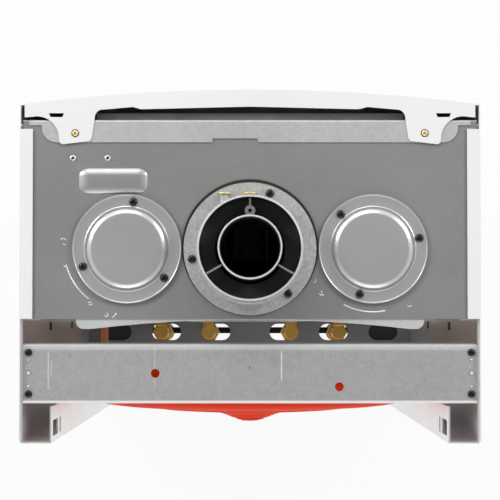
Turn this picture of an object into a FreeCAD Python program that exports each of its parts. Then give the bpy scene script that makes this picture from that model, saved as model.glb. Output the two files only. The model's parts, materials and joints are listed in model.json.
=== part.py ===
import FreeCAD, Part
import os
import re
import Sketcher

# Wall-hung gas boiler. Millimetres, X to the right seen from the front, Y toward the wall, Z up.
# The origin lies on the wall plane, in the middle of the casing's lower edge.

SIZES = {
    # casing
    "casing_width": 440, "casing_depth": 338, "casing_height": 800, "casing_sheet": 1.2,
    "front_bow": 14.3, "front_return": 18.2, "panel_gap": 0.8, "side_flange": 12.6, "side_top_share": 0.25,
    "wall_gap": 2,
    "panel_bottom": 152,
    # top flange of the front panel, measured inward from the casing's side and backward from its front corner
    "flange_end_gap": 4.6, "flange_end_reach": 12.7, "ear_curve_start": 16.6, "ear_curve_reach": 11.5,
    "ear_curve": 21.6, "ear_outer": 37.5, "ear_outer_reach": 34, "ear_corner": 4.2,
    "ear_outer_tip": 41.4, "ear_outer_tip_reach": 38.3, "ear_inner_tip": 65.1, "ear_inner_tip_reach": 35.5,
    "ear_inner": 68.8, "ear_inner_reach": 31.6, "ear_neck": 71.5, "ear_neck_reach": 14, "ear_fillet": 9,
    "flange_start": 76.7, "flange_start_reach": 5.4, "flange_nick": 108, "flange_nick_reach": 2.6,
    "flange_nick_end": 115.6, "flange_nick_end_reach": 4.8, "flange_centre_width": 16.6,
    "flange_slot_start": 27.8, "flange_slot_length": 14.3, "flange_slot_reach": 8.6,
    "flange_slot_width": 3.7,
    "flange_slot_taper": 1.5,
    "casing_screw_side": 53, "casing_screw_inset": 42, "casing_screw_radius": 2, "casing_screw_head": 3,
    "casing_screw_head_height": 2, "screw_play": 0.1,
    # rear frame
    "upright_sheet": 1.5, "upright_drop": 6.5, "upright_foot": 3, "upright_rear_flange": 29.3,
    "upright_lip": 34.8, "upright_front_flange": 14, "upright_tab": 16,
    "hook_slot_drop": 15, "hook_slot_height": 49, "hook_slot_width": 15, "hook_slot_wall_gap": 6,
    "lip_hole_drop": 78, "lip_hole_height": 13, "web_slot_first_drop": 244, "web_slot_second_drop": 491,
    "web_slot_height": 30, "web_slot_width": 9, "web_slot_edge": 4,
    "crossbar_sheet": 1.5, "crossbar_wall_gap": 38, "crossbar_depth": 57.7, "crossbar_drop": 26,
    "crossbar_end_gap": 0.4, "crossbar_hole_radius": 4.2, "crossbar_hole_right": 90.4,
    "crossbar_hole_left": 85.3,
    "crossbar_hole_right_depth": 66.7, "crossbar_hole_left_depth": 53.9,
    "end_hole_inset": 6, "end_hole_radius": 1.6, "end_hole_big_radius": 2.5, "end_hole_pitch": 12.4,
    "end_screw_pitch": 19.8, "end_screw_radius": 1.9, "end_screw_head": 3.6, "end_screw_head_height": 2.4,
    "end_screw_length": 7,
    "bracket_top": 40, "bracket_sheet": 1.5, "bracket_setback": 2.2, "bracket_rear": 62, "bracket_drop": 20,
    "wall_foot_half": 30, "wall_foot_drop": 12,
    "slot_length_share": 0.1773, "bracket_slot_width": 22, "slot_first_share": 0.2091,
    "slot_pitch_share": 0.3045, "bracket_slot_setback": 17.4,
    # expansion vessel and its cradle
    "vessel_share": 0.3617021, "vessel_side_gap": 35, "vessel_rear": 14, "vessel_middle": 52,
    "vessel_front": 90,
    "vessel_boss_rear": 5, "vessel_boss_radius": 24, "vessel_boss_top_radius": 9,
    "vessel_knuckle_width": 67,
    "vessel_flat_drop": 3, "vessel_knuckle": 76, "vessel_wall": 1.6, "vessel_seam": 3,
    "vessel_seam_width": 9,
    "nipple_share": 0.605, "nipple_radius": 8, "nipple_length": 14,
    "cradle_sheet": 1.5, "cradle_front": 85, "cradle_rear": 36.6, "cradle_drop": 22, "rest_gap": 0.3,
    # sealed chamber
    "chamber_sheet": 1.2, "chamber_rear_share": 0.350888, "chamber_inset": 30.6, "floor_share": 0.4125,
    "chamber_side_gap": 1.8, "saddle_outer_inset": 54, "saddle_corner": 7, "saddle_inner_inset": 68,
    "saddle_reach": 9.6,
    "saddle_radius": 1275, "saddle_middle_reach": 0.6,
    "cover_flange_share": 0.063, "cover_flange_inset": 21, "cover_flange_corner": 14, "cover_tab_inset": 9,
    "cover_tab_depth": 4.9, "cover_notch_right": 36, "cover_notch_left": 7.6, "cover_notch_depth": 3.7,
    "pillow_low": 98.1, "pillow_high": 163.4, "pillow_share": 0.49, "pillow_gap": 1, "pillow_height": 2.4,
    "pillow_top_inset": 9, "pillow_slope_share": 0.3,
    "rivet_outer": 169.4, "rivet_inner": 136.1, "rivet_share": 0.69, "rivet_radius": 1.8, "rivet_head": 3,
    "rivet_head_height": 1, "rivet_length": 5,
    # ports on top of the chamber
    "flue_rear_gap": 3.5, "port_gap": 2, "port_radius": 40,
    "flue_gasket_over": 1.8, "flue_gasket_height": 1.6, "flue_gasket_shift": 1.5,
    "adapter_rim": 13.3, "adapter_flange": 3, "adapter_screw_step": 6.2, "adapter_screw_turn": 10.2,
    "collar_radius": 50, "collar_wall": 2, "collar_base_step": 1, "collar_base_height": 14,
    "collar_height": 34, "spigot_radius": 30, "spigot_wall": 2, "spigot_height": 55, "spigot_drop": 30,
    "spigot_shoulder": 0.8,
    "spoke_turn": 30, "spoke_sheet": 1.8, "spoke_low": 4, "spoke_high": 12, "probe_distance": 36,
    "probe_radius": 5,
    "probe_bore": 1.8, "probe_rise": 2, "test_point_offset": 24.3, "test_point_radius": 5,
    "test_point_height": 8, "test_point_over": 0.4, "test_plug_radius": 7.2, "test_plug_length": 1.6,
    "cover_radius": 52.2, "cover_sheet": 1.5, "cover_dish_radius": 40.4, "cover_top_radius": 36,
    "cover_rise": 5, "cover_screw_circle": 45.2, "right_cover_screw_turn": 22.1,
    "left_cover_screw_turn": 73.2,
    "intake_gasket_height": 1.5, "intake_gasket_radius": 51.4, "intake_gasket_bore": 41,
    "port_screw_radius": 1.9, "port_screw_head": 4, "port_screw_head_height": 2.8, "port_screw_length": 10,
    # fan
    "fan_offset": 32, "fan_share": 0.0725, "fan_depth": 62, "fan_wall": 1.5, "fan_foot_width": 70,
    "fan_foot_height": 9, "inlet_share": 0.52, "fan_motor_share": 0.586, "fan_motor_length": 48,
    "fan_shaft_radius": 4, "fan_shaft_length": 44, "shaft_hole_play": 2, "running_gap": 0.06,
    "wheel_side_gap": 8, "wheel_blade_depth": 17, "wheel_hub_radius": 10, "wheel_depth": 36,
    "wheel_disc": 2,
    "wheel_front_gap": 4, "wheel_blade": 2, "fan_rise": 3,
    # burner, exchanger and hood
    "stack_side_gap": 70, "stack_front_gap": 32.4, "stack_rear_gap": 21.4, "stack_sheet": 1.5,
    "burner_share": 0.08, "burner_bar_width": 12, "bar_pitch_share": 0.18667, "burner_bar_height": 26,
    "burner_bar_drop": 6, "furnace_share": 0.11875, "insulation": 10, "exchanger_share": 0.0875,
    "fin_sheet": 1,
    "fin_pitch_share": 0.08667, "exchanger_tube": 9, "tube_pitch_share": 0.185, "exchanger_end": 6,
    "hood_share": 0.06875, "riser_drop": 12, "riser_half": 44,
    "manifold_reach": 10, "manifold_rise": 22, "manifold_radius": 7, "manifold_side": 12,
    "injector_radius": 3,
    "electrode_height": 14, "electrode_radius": 3.5, "electrode_front": 20, "electrode_reach": 22,
    "electrode_tip": 1.2, "electrode_tip_reach": 28, "spark_offset": 40, "spark_pitch": 14,
    "sensor_offset": 44,
    "switch_radius": 32, "switch_depth": 25, "switch_shift": 19, "switch_share": 0.8625, "switch_port": 4,
    "switch_port_length": 10,
    # water side
    "block_half": 30, "block_setback": 15, "block_depth": 50, "block_rise": 12,
    "block_share": 0.4242424, "block_foot_drop": 15, "block_foot_depth": 8, "block_axis_share": 0.5363636,
    "plate_depth": 44, "plate_rise": 14, "block_elbow_rise": 29,
    "pump_share": 0.1909091, "pump_depth": 40, "pump_wall": 5, "pump_neck_half": 20, "pump_neck": 12,
    "pump_outlet_radius": 12, "pump_outlet_step": 6, "pump_motor_step": 4, "pump_motor_length": 90,
    "pump_shaft_radius": 4, "pump_shaft_reach": 26, "impeller_side": 4, "impeller_depth": 16,
    "impeller_hub": 9, "impeller_disc": 3, "impeller_gap": 5, "impeller_vane": 2.5,
    "diverter_half": 25, "diverter_height": 60, "diverter_bore": 8, "diverter_bore_height": 45,
    "valve_bore": 12, "valve_rise": 18, "valve_drop": 12, "plunger_radius": 3, "plunger_rise": 14,
    "plunger_reach": 25, "plunger_disc": 10, "plunger_disc_height": 8,
    "tap_rise": 28, "tap_radius": 12, "tap_length": 35, "tap_stem": 4, "tap_stem_length": 20,
    "tap_knob_radius": 16, "tap_knob_length": 24, "tap_knob_gap": 2, "tap_knob_lobe": 4.5,
    "tap_knob_wall": 5,
    "pipe_radius": 9, "pipe_wall": 1, "pipe_bend": 15, "pipe_inset": 28,
    "pipe_turn_drop": 60, "flow_port_drop": 40, "pipe_hole_play": 0.4,
    "feed_pipe_radius": 5,
    "gas_valve_half": 50, "gas_valve_depth": 50, "gas_valve_setback": 102.4, "gas_valve_height": 70,
    "gas_valve_drop": 70, "gas_valve_coil": 16, "gas_valve_coil_height": 24, "gas_valve_coil_offset": 28,
    "gas_pipe_radius": 8, "gas_turn_drop": 38, "gas_stub": 20, "gas_pipe_height": 8,
    "connector_end": 35, "thread_radius": 13.2, "small_thread_radius": 10.5, "thread_length": 28,
    "relief_radius": 9.6, "connector_neck": 9, "hex_radius": 14, "hex_low": 26, "water_share": 0.625,
    "elbow_drop": 28,
    # controls
    "box_inset": 26, "box_depth": 50, "box_low": 20, "box_high": 150, "box_wall": 2.5, "fascia": 2.5,
    "board_side": 70, "board_low": 35, "board_high": 135, "board_sheet": 1.6, "board_setback": 22,
    "board_post": 4, "board_post_inset": 12,
    "display_half": 36, "display_low": 76, "display_high": 116, "display_proud": 0.5, "display_depth": 3,
    "knob_offset": 78, "knob_height": 96, "knob_radius": 15, "knob_length": 12, "knob_gap": 0.5,
    "knob_stem": 3,
    "knob_stem_reach": 15, "knob_mark": 1.2, "knob_mark_height": 1, "mark_start_share": 0.333,
    "mark_end_share": 0.9, "dial_half": 8, "dial_depth": 12,
    "dial_bore_depth": 8,
    "button_height": 50, "button_pitch": 32, "button_radius": 5, "button_proud": 2.5, "button_collar": 6.5,
    "button_collar_gap": 0.4, "button_collar_height": 1.5, "button_tail": 3.4, "contact_half": 4,
    "contact_gap": 2.2,
    "gauge_share": 0.6727273, "gauge_height": 88, "gauge_radius": 20, "gauge_rim": 22.5,
    "gauge_rim_height": 3,
    "gauge_dial_radius": 18, "gauge_dial_depth": 2, "gauge_back": 14, "gauge_pin": 0.8,
    "gauge_pin_length": 1.5,
    "needle_hub": 2, "needle_length": 14, "needle_width": 1.2, "needle_height": 0.7, "needle_gap": 0.3,
    # flap
    "flap_low": 2, "flap_gap": 2, "flap_wall": 3, "flap_return": 8, "flap_axis_height": 11,
    "flap_axis_inset": 23,
    "flap_pin": 3, "flap_ear_inset": 22, "flap_ear_width": 8, "flap_ear_half": 5.5, "lug_gap": 0.4,
    "lug_width": 5.6, "lug_eye": 6.2, "lug_reach": 15, "flap_pin_over": 1,
}

# Places and sizes that follow from the ones above.
DERIVED = {
    "collar_base_radius": "collar_radius + collar_base_step",
    "test_point_reach": "collar_base_radius + test_point_over",
    "air_radius": "collar_radius - collar_wall",
    "adapter_radius": "collar_radius + adapter_rim",
    "adapter_screw_circle": "collar_radius + adapter_screw_step",
    "flue_gasket_radius": "adapter_radius + flue_gasket_over",
    "flue_setback": "adapter_radius + flue_rear_gap",
    "port_spacing": "adapter_radius + cover_radius + port_gap",
    "cover_flange_half": "casing_width / 2 - cover_flange_inset",
    "cover_tab_half": "casing_width / 2 - cover_tab_inset",
    "saddle_outer": "casing_width / 2 - saddle_outer_inset",
    "saddle_inner": "casing_width / 2 - saddle_inner_inset",
    "casing_screw_spacing": "casing_width - 2 * casing_screw_side",
    "stack_half": "casing_width / 2 - stack_side_gap",
    "pipe_spread": "casing_width / 2 - pipe_inset",
    "vessel_radius": "casing_width / 2 - vessel_side_gap",
    "vessel_flat_radius": "vessel_radius - vessel_knuckle_width",
    "nipple_offset": "vessel_radius * nipple_share",
    "block_axis": "casing_width / 2 * block_axis_share",
    "block_inner": "block_axis - block_half",
    "block_outer": "block_axis + block_half",
    "water_offset": "block_inner * water_share",
    "pump_radius": "casing_width / 2 * pump_share",
    "pump_motor_radius": "pump_radius - pump_motor_step",
    "impeller_radius": "pump_radius - pump_wall - impeller_side",
    "pump_outlet_reach": "pump_radius + pump_outlet_step",
    "bracket_slot_first": "casing_width / 2 * slot_first_share",
    "bracket_slot_pitch": "casing_width / 2 * slot_pitch_share",
    "bracket_slot_length": "casing_width / 2 * slot_length_share",
    "board_half": "casing_width / 2 - board_side",
    "gauge_offset": "casing_width / 2 * gauge_share",
    "flap_ear_inner": "casing_width / 2 - flap_ear_inset",
    "flap_ear_outer": "flap_ear_inner + flap_ear_width",
    "lug_inner": "flap_ear_outer + lug_gap",
    "lug_outer": "lug_inner + lug_width",
    "flap_pin_end": "lug_outer + flap_pin_over",
    "manifold_half": "stack_half - manifold_side",
    "burner_bar_pitch": "stack_half * bar_pitch_share",
    "fin_pitch": "stack_half * fin_pitch_share",
    "chamber_rear": "casing_depth * chamber_rear_share",
    "chamber_front": "casing_depth - chamber_inset",
    "cover_flange_depth": "casing_depth * cover_flange_share",
    "casing_screw_depth": "casing_depth - casing_screw_inset",
    "flue_depth": "chamber_rear + flue_setback",
    "pillow_rear": "flue_depth + cover_radius + pillow_gap",
    "pillow_room": "chamber_front + chamber_sheet - cover_flange_depth - pillow_rear",
    "pillow_front": "pillow_rear + pillow_room * pillow_share",
    "rivet_depth": "pillow_rear + pillow_room * rivet_share",
    "bracket_front": "chamber_rear - bracket_setback",
    "bracket_slot_depth": "bracket_front - bracket_slot_setback",
    "block_rear": "bracket_slot_depth + block_setback",
    "block_front": "block_rear + block_depth",
    "plate_front": "block_rear + plate_depth",
    "diverter_depth": "(block_front + block_rear) / 2",
    "pipe_rear": "(block_front + block_rear) / 2",
    "stack_front": "chamber_front - stack_front_gap",
    "stack_rear": "chamber_rear + stack_rear_gap",
    "pipe_front": "(stack_front + stack_rear) / 2",
    "exchanger_tube_pitch": "(stack_front - stack_rear) * tube_pitch_share",
    "manifold_depth": "stack_front + manifold_reach",
    "switch_forward": "(chamber_front + chamber_rear) / 2 + switch_shift",
    "gas_valve_rear": "chamber_front - gas_valve_setback",
    "gas_valve_front": "gas_valve_rear + gas_valve_depth",
    "gas_outlet_depth": "gas_valve_rear + gas_valve_depth / 2",
    "box_front": "casing_depth - box_inset",
    "box_rear": "box_front - box_depth",
    "board_forward": "box_front - board_setback",
    "flap_axis_depth": "casing_depth - flap_axis_inset",
    "lug_rear": "flap_axis_depth - lug_reach",
    "upright_height": "casing_height - upright_drop",
    "chamber_floor": "casing_height * floor_share",
    "burner_height": "casing_height * burner_share",
    "furnace_height": "casing_height * furnace_share",
    "exchanger_height": "casing_height * exchanger_share",
    "hood_height": "casing_height * hood_share",
    "fan_radius": "casing_height * fan_share",
    "riser_height": "2 * fan_radius - riser_drop",
    "spigot_foot": "casing_height - spigot_drop",
    "wheel_radius": "fan_radius - wheel_side_gap",
    "wheel_inner_radius": "wheel_radius - wheel_blade_depth",
    "fan_inlet_radius": "fan_radius * inlet_share",
    "fan_motor_radius": "fan_radius * fan_motor_share",
    "manifold_height": "chamber_floor + manifold_rise",
    "switch_height": "casing_height * switch_share",
    "exchanger_foot": "chamber_floor + chamber_sheet + burner_height + furnace_height",
    "pipe_top_height": "exchanger_foot + exchanger_height / 2",
    "pipe_turn_height": "chamber_floor - pipe_turn_drop",
    "gas_turn_height": "chamber_floor - gas_turn_drop",
    "gas_valve_high": "chamber_floor - gas_valve_drop",
    "gas_valve_low": "gas_valve_high - gas_valve_height",
    "block_top": "chamber_floor * block_share",
    "block_bottom": "bracket_top + block_rise",
    "valve_low": "block_bottom + valve_rise",
    "valve_high": "block_top - valve_drop",
    "plunger_low": "valve_low + plunger_rise",
    "plunger_high": "block_top + plunger_reach",
    "plate_low": "block_bottom + plate_rise",
    "plate_high": "block_top - valve_drop",
    "tap_height": "block_bottom + tap_rise",
    "elbow_height": "plate_high - elbow_drop",
    "block_elbow_height": "block_bottom + block_elbow_rise",
    "flow_port_height": "block_top - flow_port_drop",
    "vessel_height": "chamber_floor + (casing_height - chamber_floor) * vessel_share",
}
FIN_COUNT = 22
BAR_COUNT = 10
BLADE_COUNT = 20
VANE_COUNT = 6
GRIP_COUNT = 6
TUBE_COUNT = 5
SCREW_COUNT = 3
SPOKE_COUNT = 3

AXES = {"x": FreeCAD.Vector(1, 0, 0), "y": FreeCAD.Vector(0, 1, 0), "z": FreeCAD.Vector(0, 0, 1)}
WORD = re.compile(r"[a-z][a-z_]*[a-z]")

doc = FreeCAD.newDocument("boiler")
sheet = doc.addObject("Spreadsheet::Sheet", "Sizes")
for row, (alias, amount) in enumerate(SIZES.items(), 1):
    sheet.set(f"A{row}", alias)
    sheet.set(f"B{row}", str(amount))
    sheet.setAlias(f"B{row}", alias)
doc.recompute()
pieces = {}


def qualified(formula):
    """The formula with every size written as a cell of the sheet."""
    def written(hit):
        if hit[0] in DERIVED:
            return f"({qualified(DERIVED[hit[0]])})"
        return f"Sizes.{hit[0]}" if hit[0] in SIZES else hit[0]

    return WORD.sub(written, str(formula))


def size(formula):
    """The number a formula comes to."""
    found = sheet.evalExpression(qualified(formula))
    return float(getattr(found, "Value", found))


def bind(thing, path, formula):
    thing.setExpression(path, qualified(formula))


def keep(node, thing):
    """Names the piece that is written out."""
    pieces[node] = thing
    return thing


def slab(name, x, y, z):
    """A box between a low and a high formula on each axis."""
    thing = doc.addObject("Part::Box", name)
    for axis, length, (low, high) in zip("xyz", ("Length", "Width", "Height"), (x, y, z)):
        bind(thing, length, f"({high}) - ({low})")
        bind(thing, f"Placement.Base.{axis}", low)
    return thing


def place(thing, axis, low, at):
    """Lays a piece made along Z along an axis, from a low end, at two formulas across it."""
    thing.Placement.Rotation = FreeCAD.Rotation(AXES["z"], AXES[axis])
    bind(thing, f"Placement.Base.{axis}", low)
    for other, formula in zip([name for name in "xyz" if name != axis], at):
        bind(thing, f"Placement.Base.{other}", formula)
    return thing


def rod(name, axis, radius, span, at):
    """A cylinder along an axis between two formulas."""
    thing = doc.addObject("Part::Cylinder", name)
    bind(thing, "Radius", radius)
    bind(thing, "Height", f"({span[1]}) - ({span[0]})")
    return place(thing, axis, span[0], at)


def hexagon(name, radius, span, at):
    """An upright six-sided bar."""
    thing = doc.addObject("Part::Prism", name)
    thing.Polygon = 6
    bind(thing, "Circumradius", radius)
    bind(thing, "Height", f"({span[1]}) - ({span[0]})")
    return place(thing, "z", span[0], at)


def fuse(name, *things):
    thing = doc.addObject("Part::MultiFuse", name)
    thing.Shapes = list(things)
    thing.Refine = True
    return thing


def cut(name, base, *tools):
    thing = doc.addObject("Part::Cut", name)
    thing.Base = base
    thing.Tool = tools[0] if len(tools) == 1 else fuse(f"{name}_tools", *tools)
    thing.Refine = True
    return thing


def group(name, *things):
    """Several separate solids of one kind."""
    thing = doc.addObject("Part::Compound", name)
    thing.Links = list(things)
    return thing


def sides(side, low, high):
    """A span across X on the right (1) or mirrored on the left (-1)."""
    return (low, high) if side > 0 else (f"-({high})", f"-({low})")


def offset(side, formula):
    return formula if side > 0 else f"-({formula})"


def mirrored(corners):
    """The same run of corners on the left side, walked back from its end."""
    back = []
    for number in reversed(range(len(corners))):
        mark = corners[number + 1][2:] if number + 1 < len(corners) else ()
        back.append((f"-({corners[number][0]})", corners[number][1], *mark))
    return back


def outline(owner, name, plane, corners, rise="0"):
    """A closed sketch of (x, y) corners, with (x, y, radius, turn) where an arc leads to it, left for 1."""
    sketch = owner.newObject("Sketcher::SketchObject", name)
    sketch.AttachmentSupport = [(doc.getObject(owner.Origin.OriginFeatures[plane].Name), "")]
    sketch.MapMode = "FlatFace"
    bind(sketch, "AttachmentOffset.Base.z", rise)
    spots = [FreeCAD.Vector(size(corner[0]), size(corner[1]), 0) for corner in corners]
    ends = []
    for number, corner in enumerate(corners):
        last, spot = spots[number - 1], spots[number]
        if len(corner) == 2:
            sketch.addGeometry(Part.LineSegment(last, spot), False)
            ends.append((1, 2))
            continue
        radius, turn = size(corner[2]), corner[3]
        chord = spot - last
        left = FreeCAD.Vector(-chord.y, chord.x, 0).normalize()
        centre = (last + spot) * 0.5 + left * turn * (radius ** 2 - (chord.Length / 2) ** 2) ** 0.5
        first, second = (last, spot) if turn > 0 else (spot, last)
        circle = Part.Circle(centre, AXES["z"], radius)
        sketch.addGeometry(Part.ArcOfCircle(circle, circle.parameter(first), circle.parameter(second)),
                           False)
        ends.append((1, 2) if turn > 0 else (2, 1))
    for number in range(len(corners)):
        after = (number + 1) % len(corners)
        sketch.addConstraint(Sketcher.Constraint("Coincident", number, ends[number][1], after,
                                                 ends[after][0]))
    for number, corner in enumerate(corners):
        for kind, formula, amount in zip(("DistanceX", "DistanceY"), corner, spots[number]):
            row = sketch.addConstraint(Sketcher.Constraint(kind, -1, 1, number, ends[number][1], amount))
            bind(sketch, f"Constraints[{row}]", formula)
        if len(corner) > 2:
            row = sketch.addConstraint(Sketcher.Constraint("Radius", number, size(corner[2])))
            bind(sketch, f"Constraints[{row}]", corner[2])
    return sketch


FLAT, UPRIGHT, ACROSS = 3, 4, 5


def padded(name, plane, corners, length, rise="0"):
    """A plate of the sketched outline."""
    owner = doc.addObject("PartDesign::Body", f"{name}_body")
    sketch = outline(owner, f"{name}_outline", plane, corners, rise)
    pad = owner.newObject("PartDesign::Pad", f"{name}_pad")
    pad.Profile = (sketch, [""])
    bind(pad, "Length", length)
    return owner


def turned(name, corners, axis, low, at):
    """A round piece from a profile of (radius, height) corners, set along an axis."""
    owner = doc.addObject("PartDesign::Body", f"{name}_body")
    sketch = outline(owner, f"{name}_profile", UPRIGHT, corners)
    turn = owner.newObject("PartDesign::Revolution", f"{name}_turn")
    turn.Profile = (sketch, [""])
    turn.ReferenceAxis = (sketch, ["V_Axis"])
    turn.Angle = 360
    return place(owner, axis, low, at)


def radial(name, reach, thickness, rise, count, axis, low, at):
    """Straight ribs round an axis, from a near to a far radius."""
    ribs = []
    for number in range(count):
        turn = f"({number} * 360 / {count})"
        rib = doc.addObject("Part::Box", f"{name}_{number}")
        bind(rib, "Length", f"({reach[1]}) - ({reach[0]})")
        bind(rib, "Width", thickness)
        bind(rib, "Height", f"({rise[1]}) - ({rise[0]})")
        spin = FreeCAD.Rotation(AXES["z"], size(turn))
        lay = FreeCAD.Rotation(AXES["z"], AXES[axis])
        rib.Placement.Rotation = lay * spin
        along = f"(({reach[0]}) * cos({turn} * 1deg) + ({thickness}) / 2 * sin({turn} * 1deg))"
        aside = f"(({reach[0]}) * sin({turn} * 1deg) - ({thickness}) / 2 * cos({turn} * 1deg))"
        ups = {"z": (along, aside, rise[0]), "y": (along, rise[0], f"-{aside}")}[axis]
        centre = {"z": (at[0], at[1], low), "y": (at[0], low, at[1])}[axis]
        for coordinate, part, base in zip("xyz", ups, centre):
            bind(rib, f"Placement.Base.{coordinate}", f"({base}) + {part}")
        ribs.append(rib)
    return ribs


def bent(name, stops, radius, bend, wall):
    """A pipe through the stops, with a bend at every inner one."""
    spots = [FreeCAD.Vector(*(size(formula) for formula in stop)) for stop in stops]
    turn = size(bend)
    edges, last = [], spots[0]
    for before, spot, after in zip(spots, spots[1:], spots[2:]):
        back, ahead = (before - spot).normalize(), (after - spot).normalize()
        start, end = spot + back * turn, spot + ahead * turn
        middle = spot + (back + ahead) * turn * (1 - 0.5 ** 0.5)
        edges.append(Part.LineSegment(last, start).toShape())
        edges.append(Part.Arc(start, middle, end).toShape())
        last = end
    edges.append(Part.LineSegment(last, spots[-1]).toShape())
    path = Part.Wire(edges)
    heading = (spots[1] - spots[0]).normalize()

    def swept(reach):
        ring = Part.Wire(Part.makeCircle(reach, spots[0], heading))
        return path.makePipeShell([ring], True, True)

    thing = doc.addObject("Part::Feature", name)
    thing.Shape = swept(size(radius)).cut(swept(size(f"({radius}) - ({wall})")))
    return thing


def on_circle(centre, circle, turn):
    """Where a turn in degrees falls on a circle about a centre of two formulas."""
    return (f"({centre[0]}) + ({circle}) * cos(({turn}) * 1deg)",
            f"({centre[1]}) + ({circle}) * sin(({turn}) * 1deg)")


half = "(casing_width / 2)"
inner = "(casing_width / 2 - casing_sheet)"
web = "(casing_width / 2 - casing_sheet - upright_sheet)"
front_corner = "(casing_depth - front_bow)"
side_front = "(casing_depth - front_bow - front_return - panel_gap)"
front_radius = "(((casing_width / 2) ^ 2 + front_bow ^ 2) / (2 * front_bow))"
flange_low = "(casing_height - casing_sheet)"
plate_top = "(casing_height - casing_sheet - chamber_sheet)"
plate_low = "(casing_height - casing_sheet - 2 * chamber_sheet)"
chamber_half = "(casing_width / 2 - casing_sheet - chamber_side_gap)"
floor_top = "(chamber_floor + chamber_sheet)"


def bow(x, inset):
    """How far from the wall the bowed front lies at a distance from the middle."""
    return f"(casing_depth - {front_radius} + sqrt(({front_radius} - ({inset})) ^ 2 - ({x}) ^ 2))"


# Front panel: bowed sheet with side returns, and a top flange with two screw ears.
def front_wall(name, sheet_name, return_name, low, length):
    inside = f"({half} - {sheet_name})"
    back = f"-({front_corner} - {return_name})"
    return padded(name, FLAT, [
        (f"-{half}", f"-{front_corner}"),
        (half, f"-{front_corner}", front_radius, 1),
        (half, back),
        (inside, back),
        (inside, f"-{bow(inside, sheet_name)}"),
        (f"-{inside}", f"-{bow(inside, sheet_name)}", f"{front_radius} - {sheet_name}", -1),
        (f"-{inside}", back),
        (f"-{half}", back),
    ], length, low)


def reach(across, back):
    return (f"{half} - {across}", f"-({front_corner} - {back})")


flange_end = f"({half} - flange_end_gap)"
flange_run = [
    reach("flange_end_gap", "flange_end_reach"),
    reach("ear_curve_start", "ear_curve_reach"),
    (*reach("ear_outer", "ear_outer_reach"), "ear_curve", -1),
    (*reach("ear_outer_tip", "ear_outer_tip_reach"), "ear_corner", 1),
    reach("ear_inner_tip", "ear_inner_tip_reach"),
    (*reach("ear_inner", "ear_inner_reach"), "ear_corner", 1),
    reach("ear_neck", "ear_neck_reach"),
    (*reach("flange_start", "flange_start_reach"), "ear_fillet", -1),
    reach("flange_nick", "flange_nick_reach"),
    reach("flange_nick_end", "flange_nick_end_reach"),
]
flange = padded("front_flange", FLAT, [
    (f"-{flange_end}", f"-{bow(flange_end, '0')}"),
    (flange_end, f"-{bow(flange_end, '0')}", front_radius, 1),
    *flange_run,
    ("0", "-(casing_depth - flange_centre_width)"),
    *mirrored(flange_run),
], "casing_sheet", flange_low)
panel_wall = front_wall("front_wall", "casing_sheet", "front_return", "panel_bottom",
                        "casing_height - panel_bottom")
panel_cuts = []
for side, label in ((1, "right"), (-1, "left")):
    slot_end = f"({half} - flange_slot_start)"
    slot_front = f"-({front_corner} - flange_slot_reach)"
    slot_run = [
        (f"{slot_end} - flange_slot_length", slot_front),
        (slot_end, slot_front),
        (f"{slot_end} - flange_slot_taper", f"{slot_front} + flange_slot_width"),
        (f"{slot_end} - flange_slot_length + flange_slot_taper", f"{slot_front} + flange_slot_width"),
    ]
    panel_cuts.append(padded(f"flange_slot_{label}", FLAT, slot_run if side > 0 else mirrored(slot_run),
                             "3 * casing_sheet", f"{flange_low} - casing_sheet"))
    panel_cuts.append(rod(
        f"ear_hole_{label}", "z", "casing_screw_radius + screw_play",
        (f"{flange_low} - casing_sheet", "casing_height + casing_sheet"),
        (offset(side, "casing_screw_spacing / 2"), "-casing_screw_depth")))
foot_run = [reach("flange_end_gap", "flange_end_reach")]
panel_foot = padded("front_foot", FLAT, [
    (f"-{flange_end}", f"-{bow(flange_end, '0')}"),
    (flange_end, f"-{bow(flange_end, '0')}", front_radius, 1),
    *foot_run,
    *mirrored(foot_run),
], "casing_sheet", "panel_bottom")
keep("front_panel", cut("front_panel", fuse("front_sheet", panel_wall, flange, panel_foot), *panel_cuts))

# Side panels with folded top and bottom flanges.
for side, label in ((1, "right"), (-1, "left")):
    node = f"{label}_side_panel"
    keep(node, fuse(
        node,
        slab(f"{node}_sheet", sides(side, inner, half), (f"-{side_front}", "-wall_gap"),
             (0, "casing_height")),
        slab(f"{node}_top", sides(side, f"{half} - side_flange", half),
             (f"-{side_front} + front_return * side_top_share", "-chamber_rear"),
             (flange_low, "casing_height")),
        slab(f"{node}_foot", sides(side, f"{half} - side_flange", half),
             (f"-{side_front}", "-chamber_rear"),
             (0, "casing_sheet"))))

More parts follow.
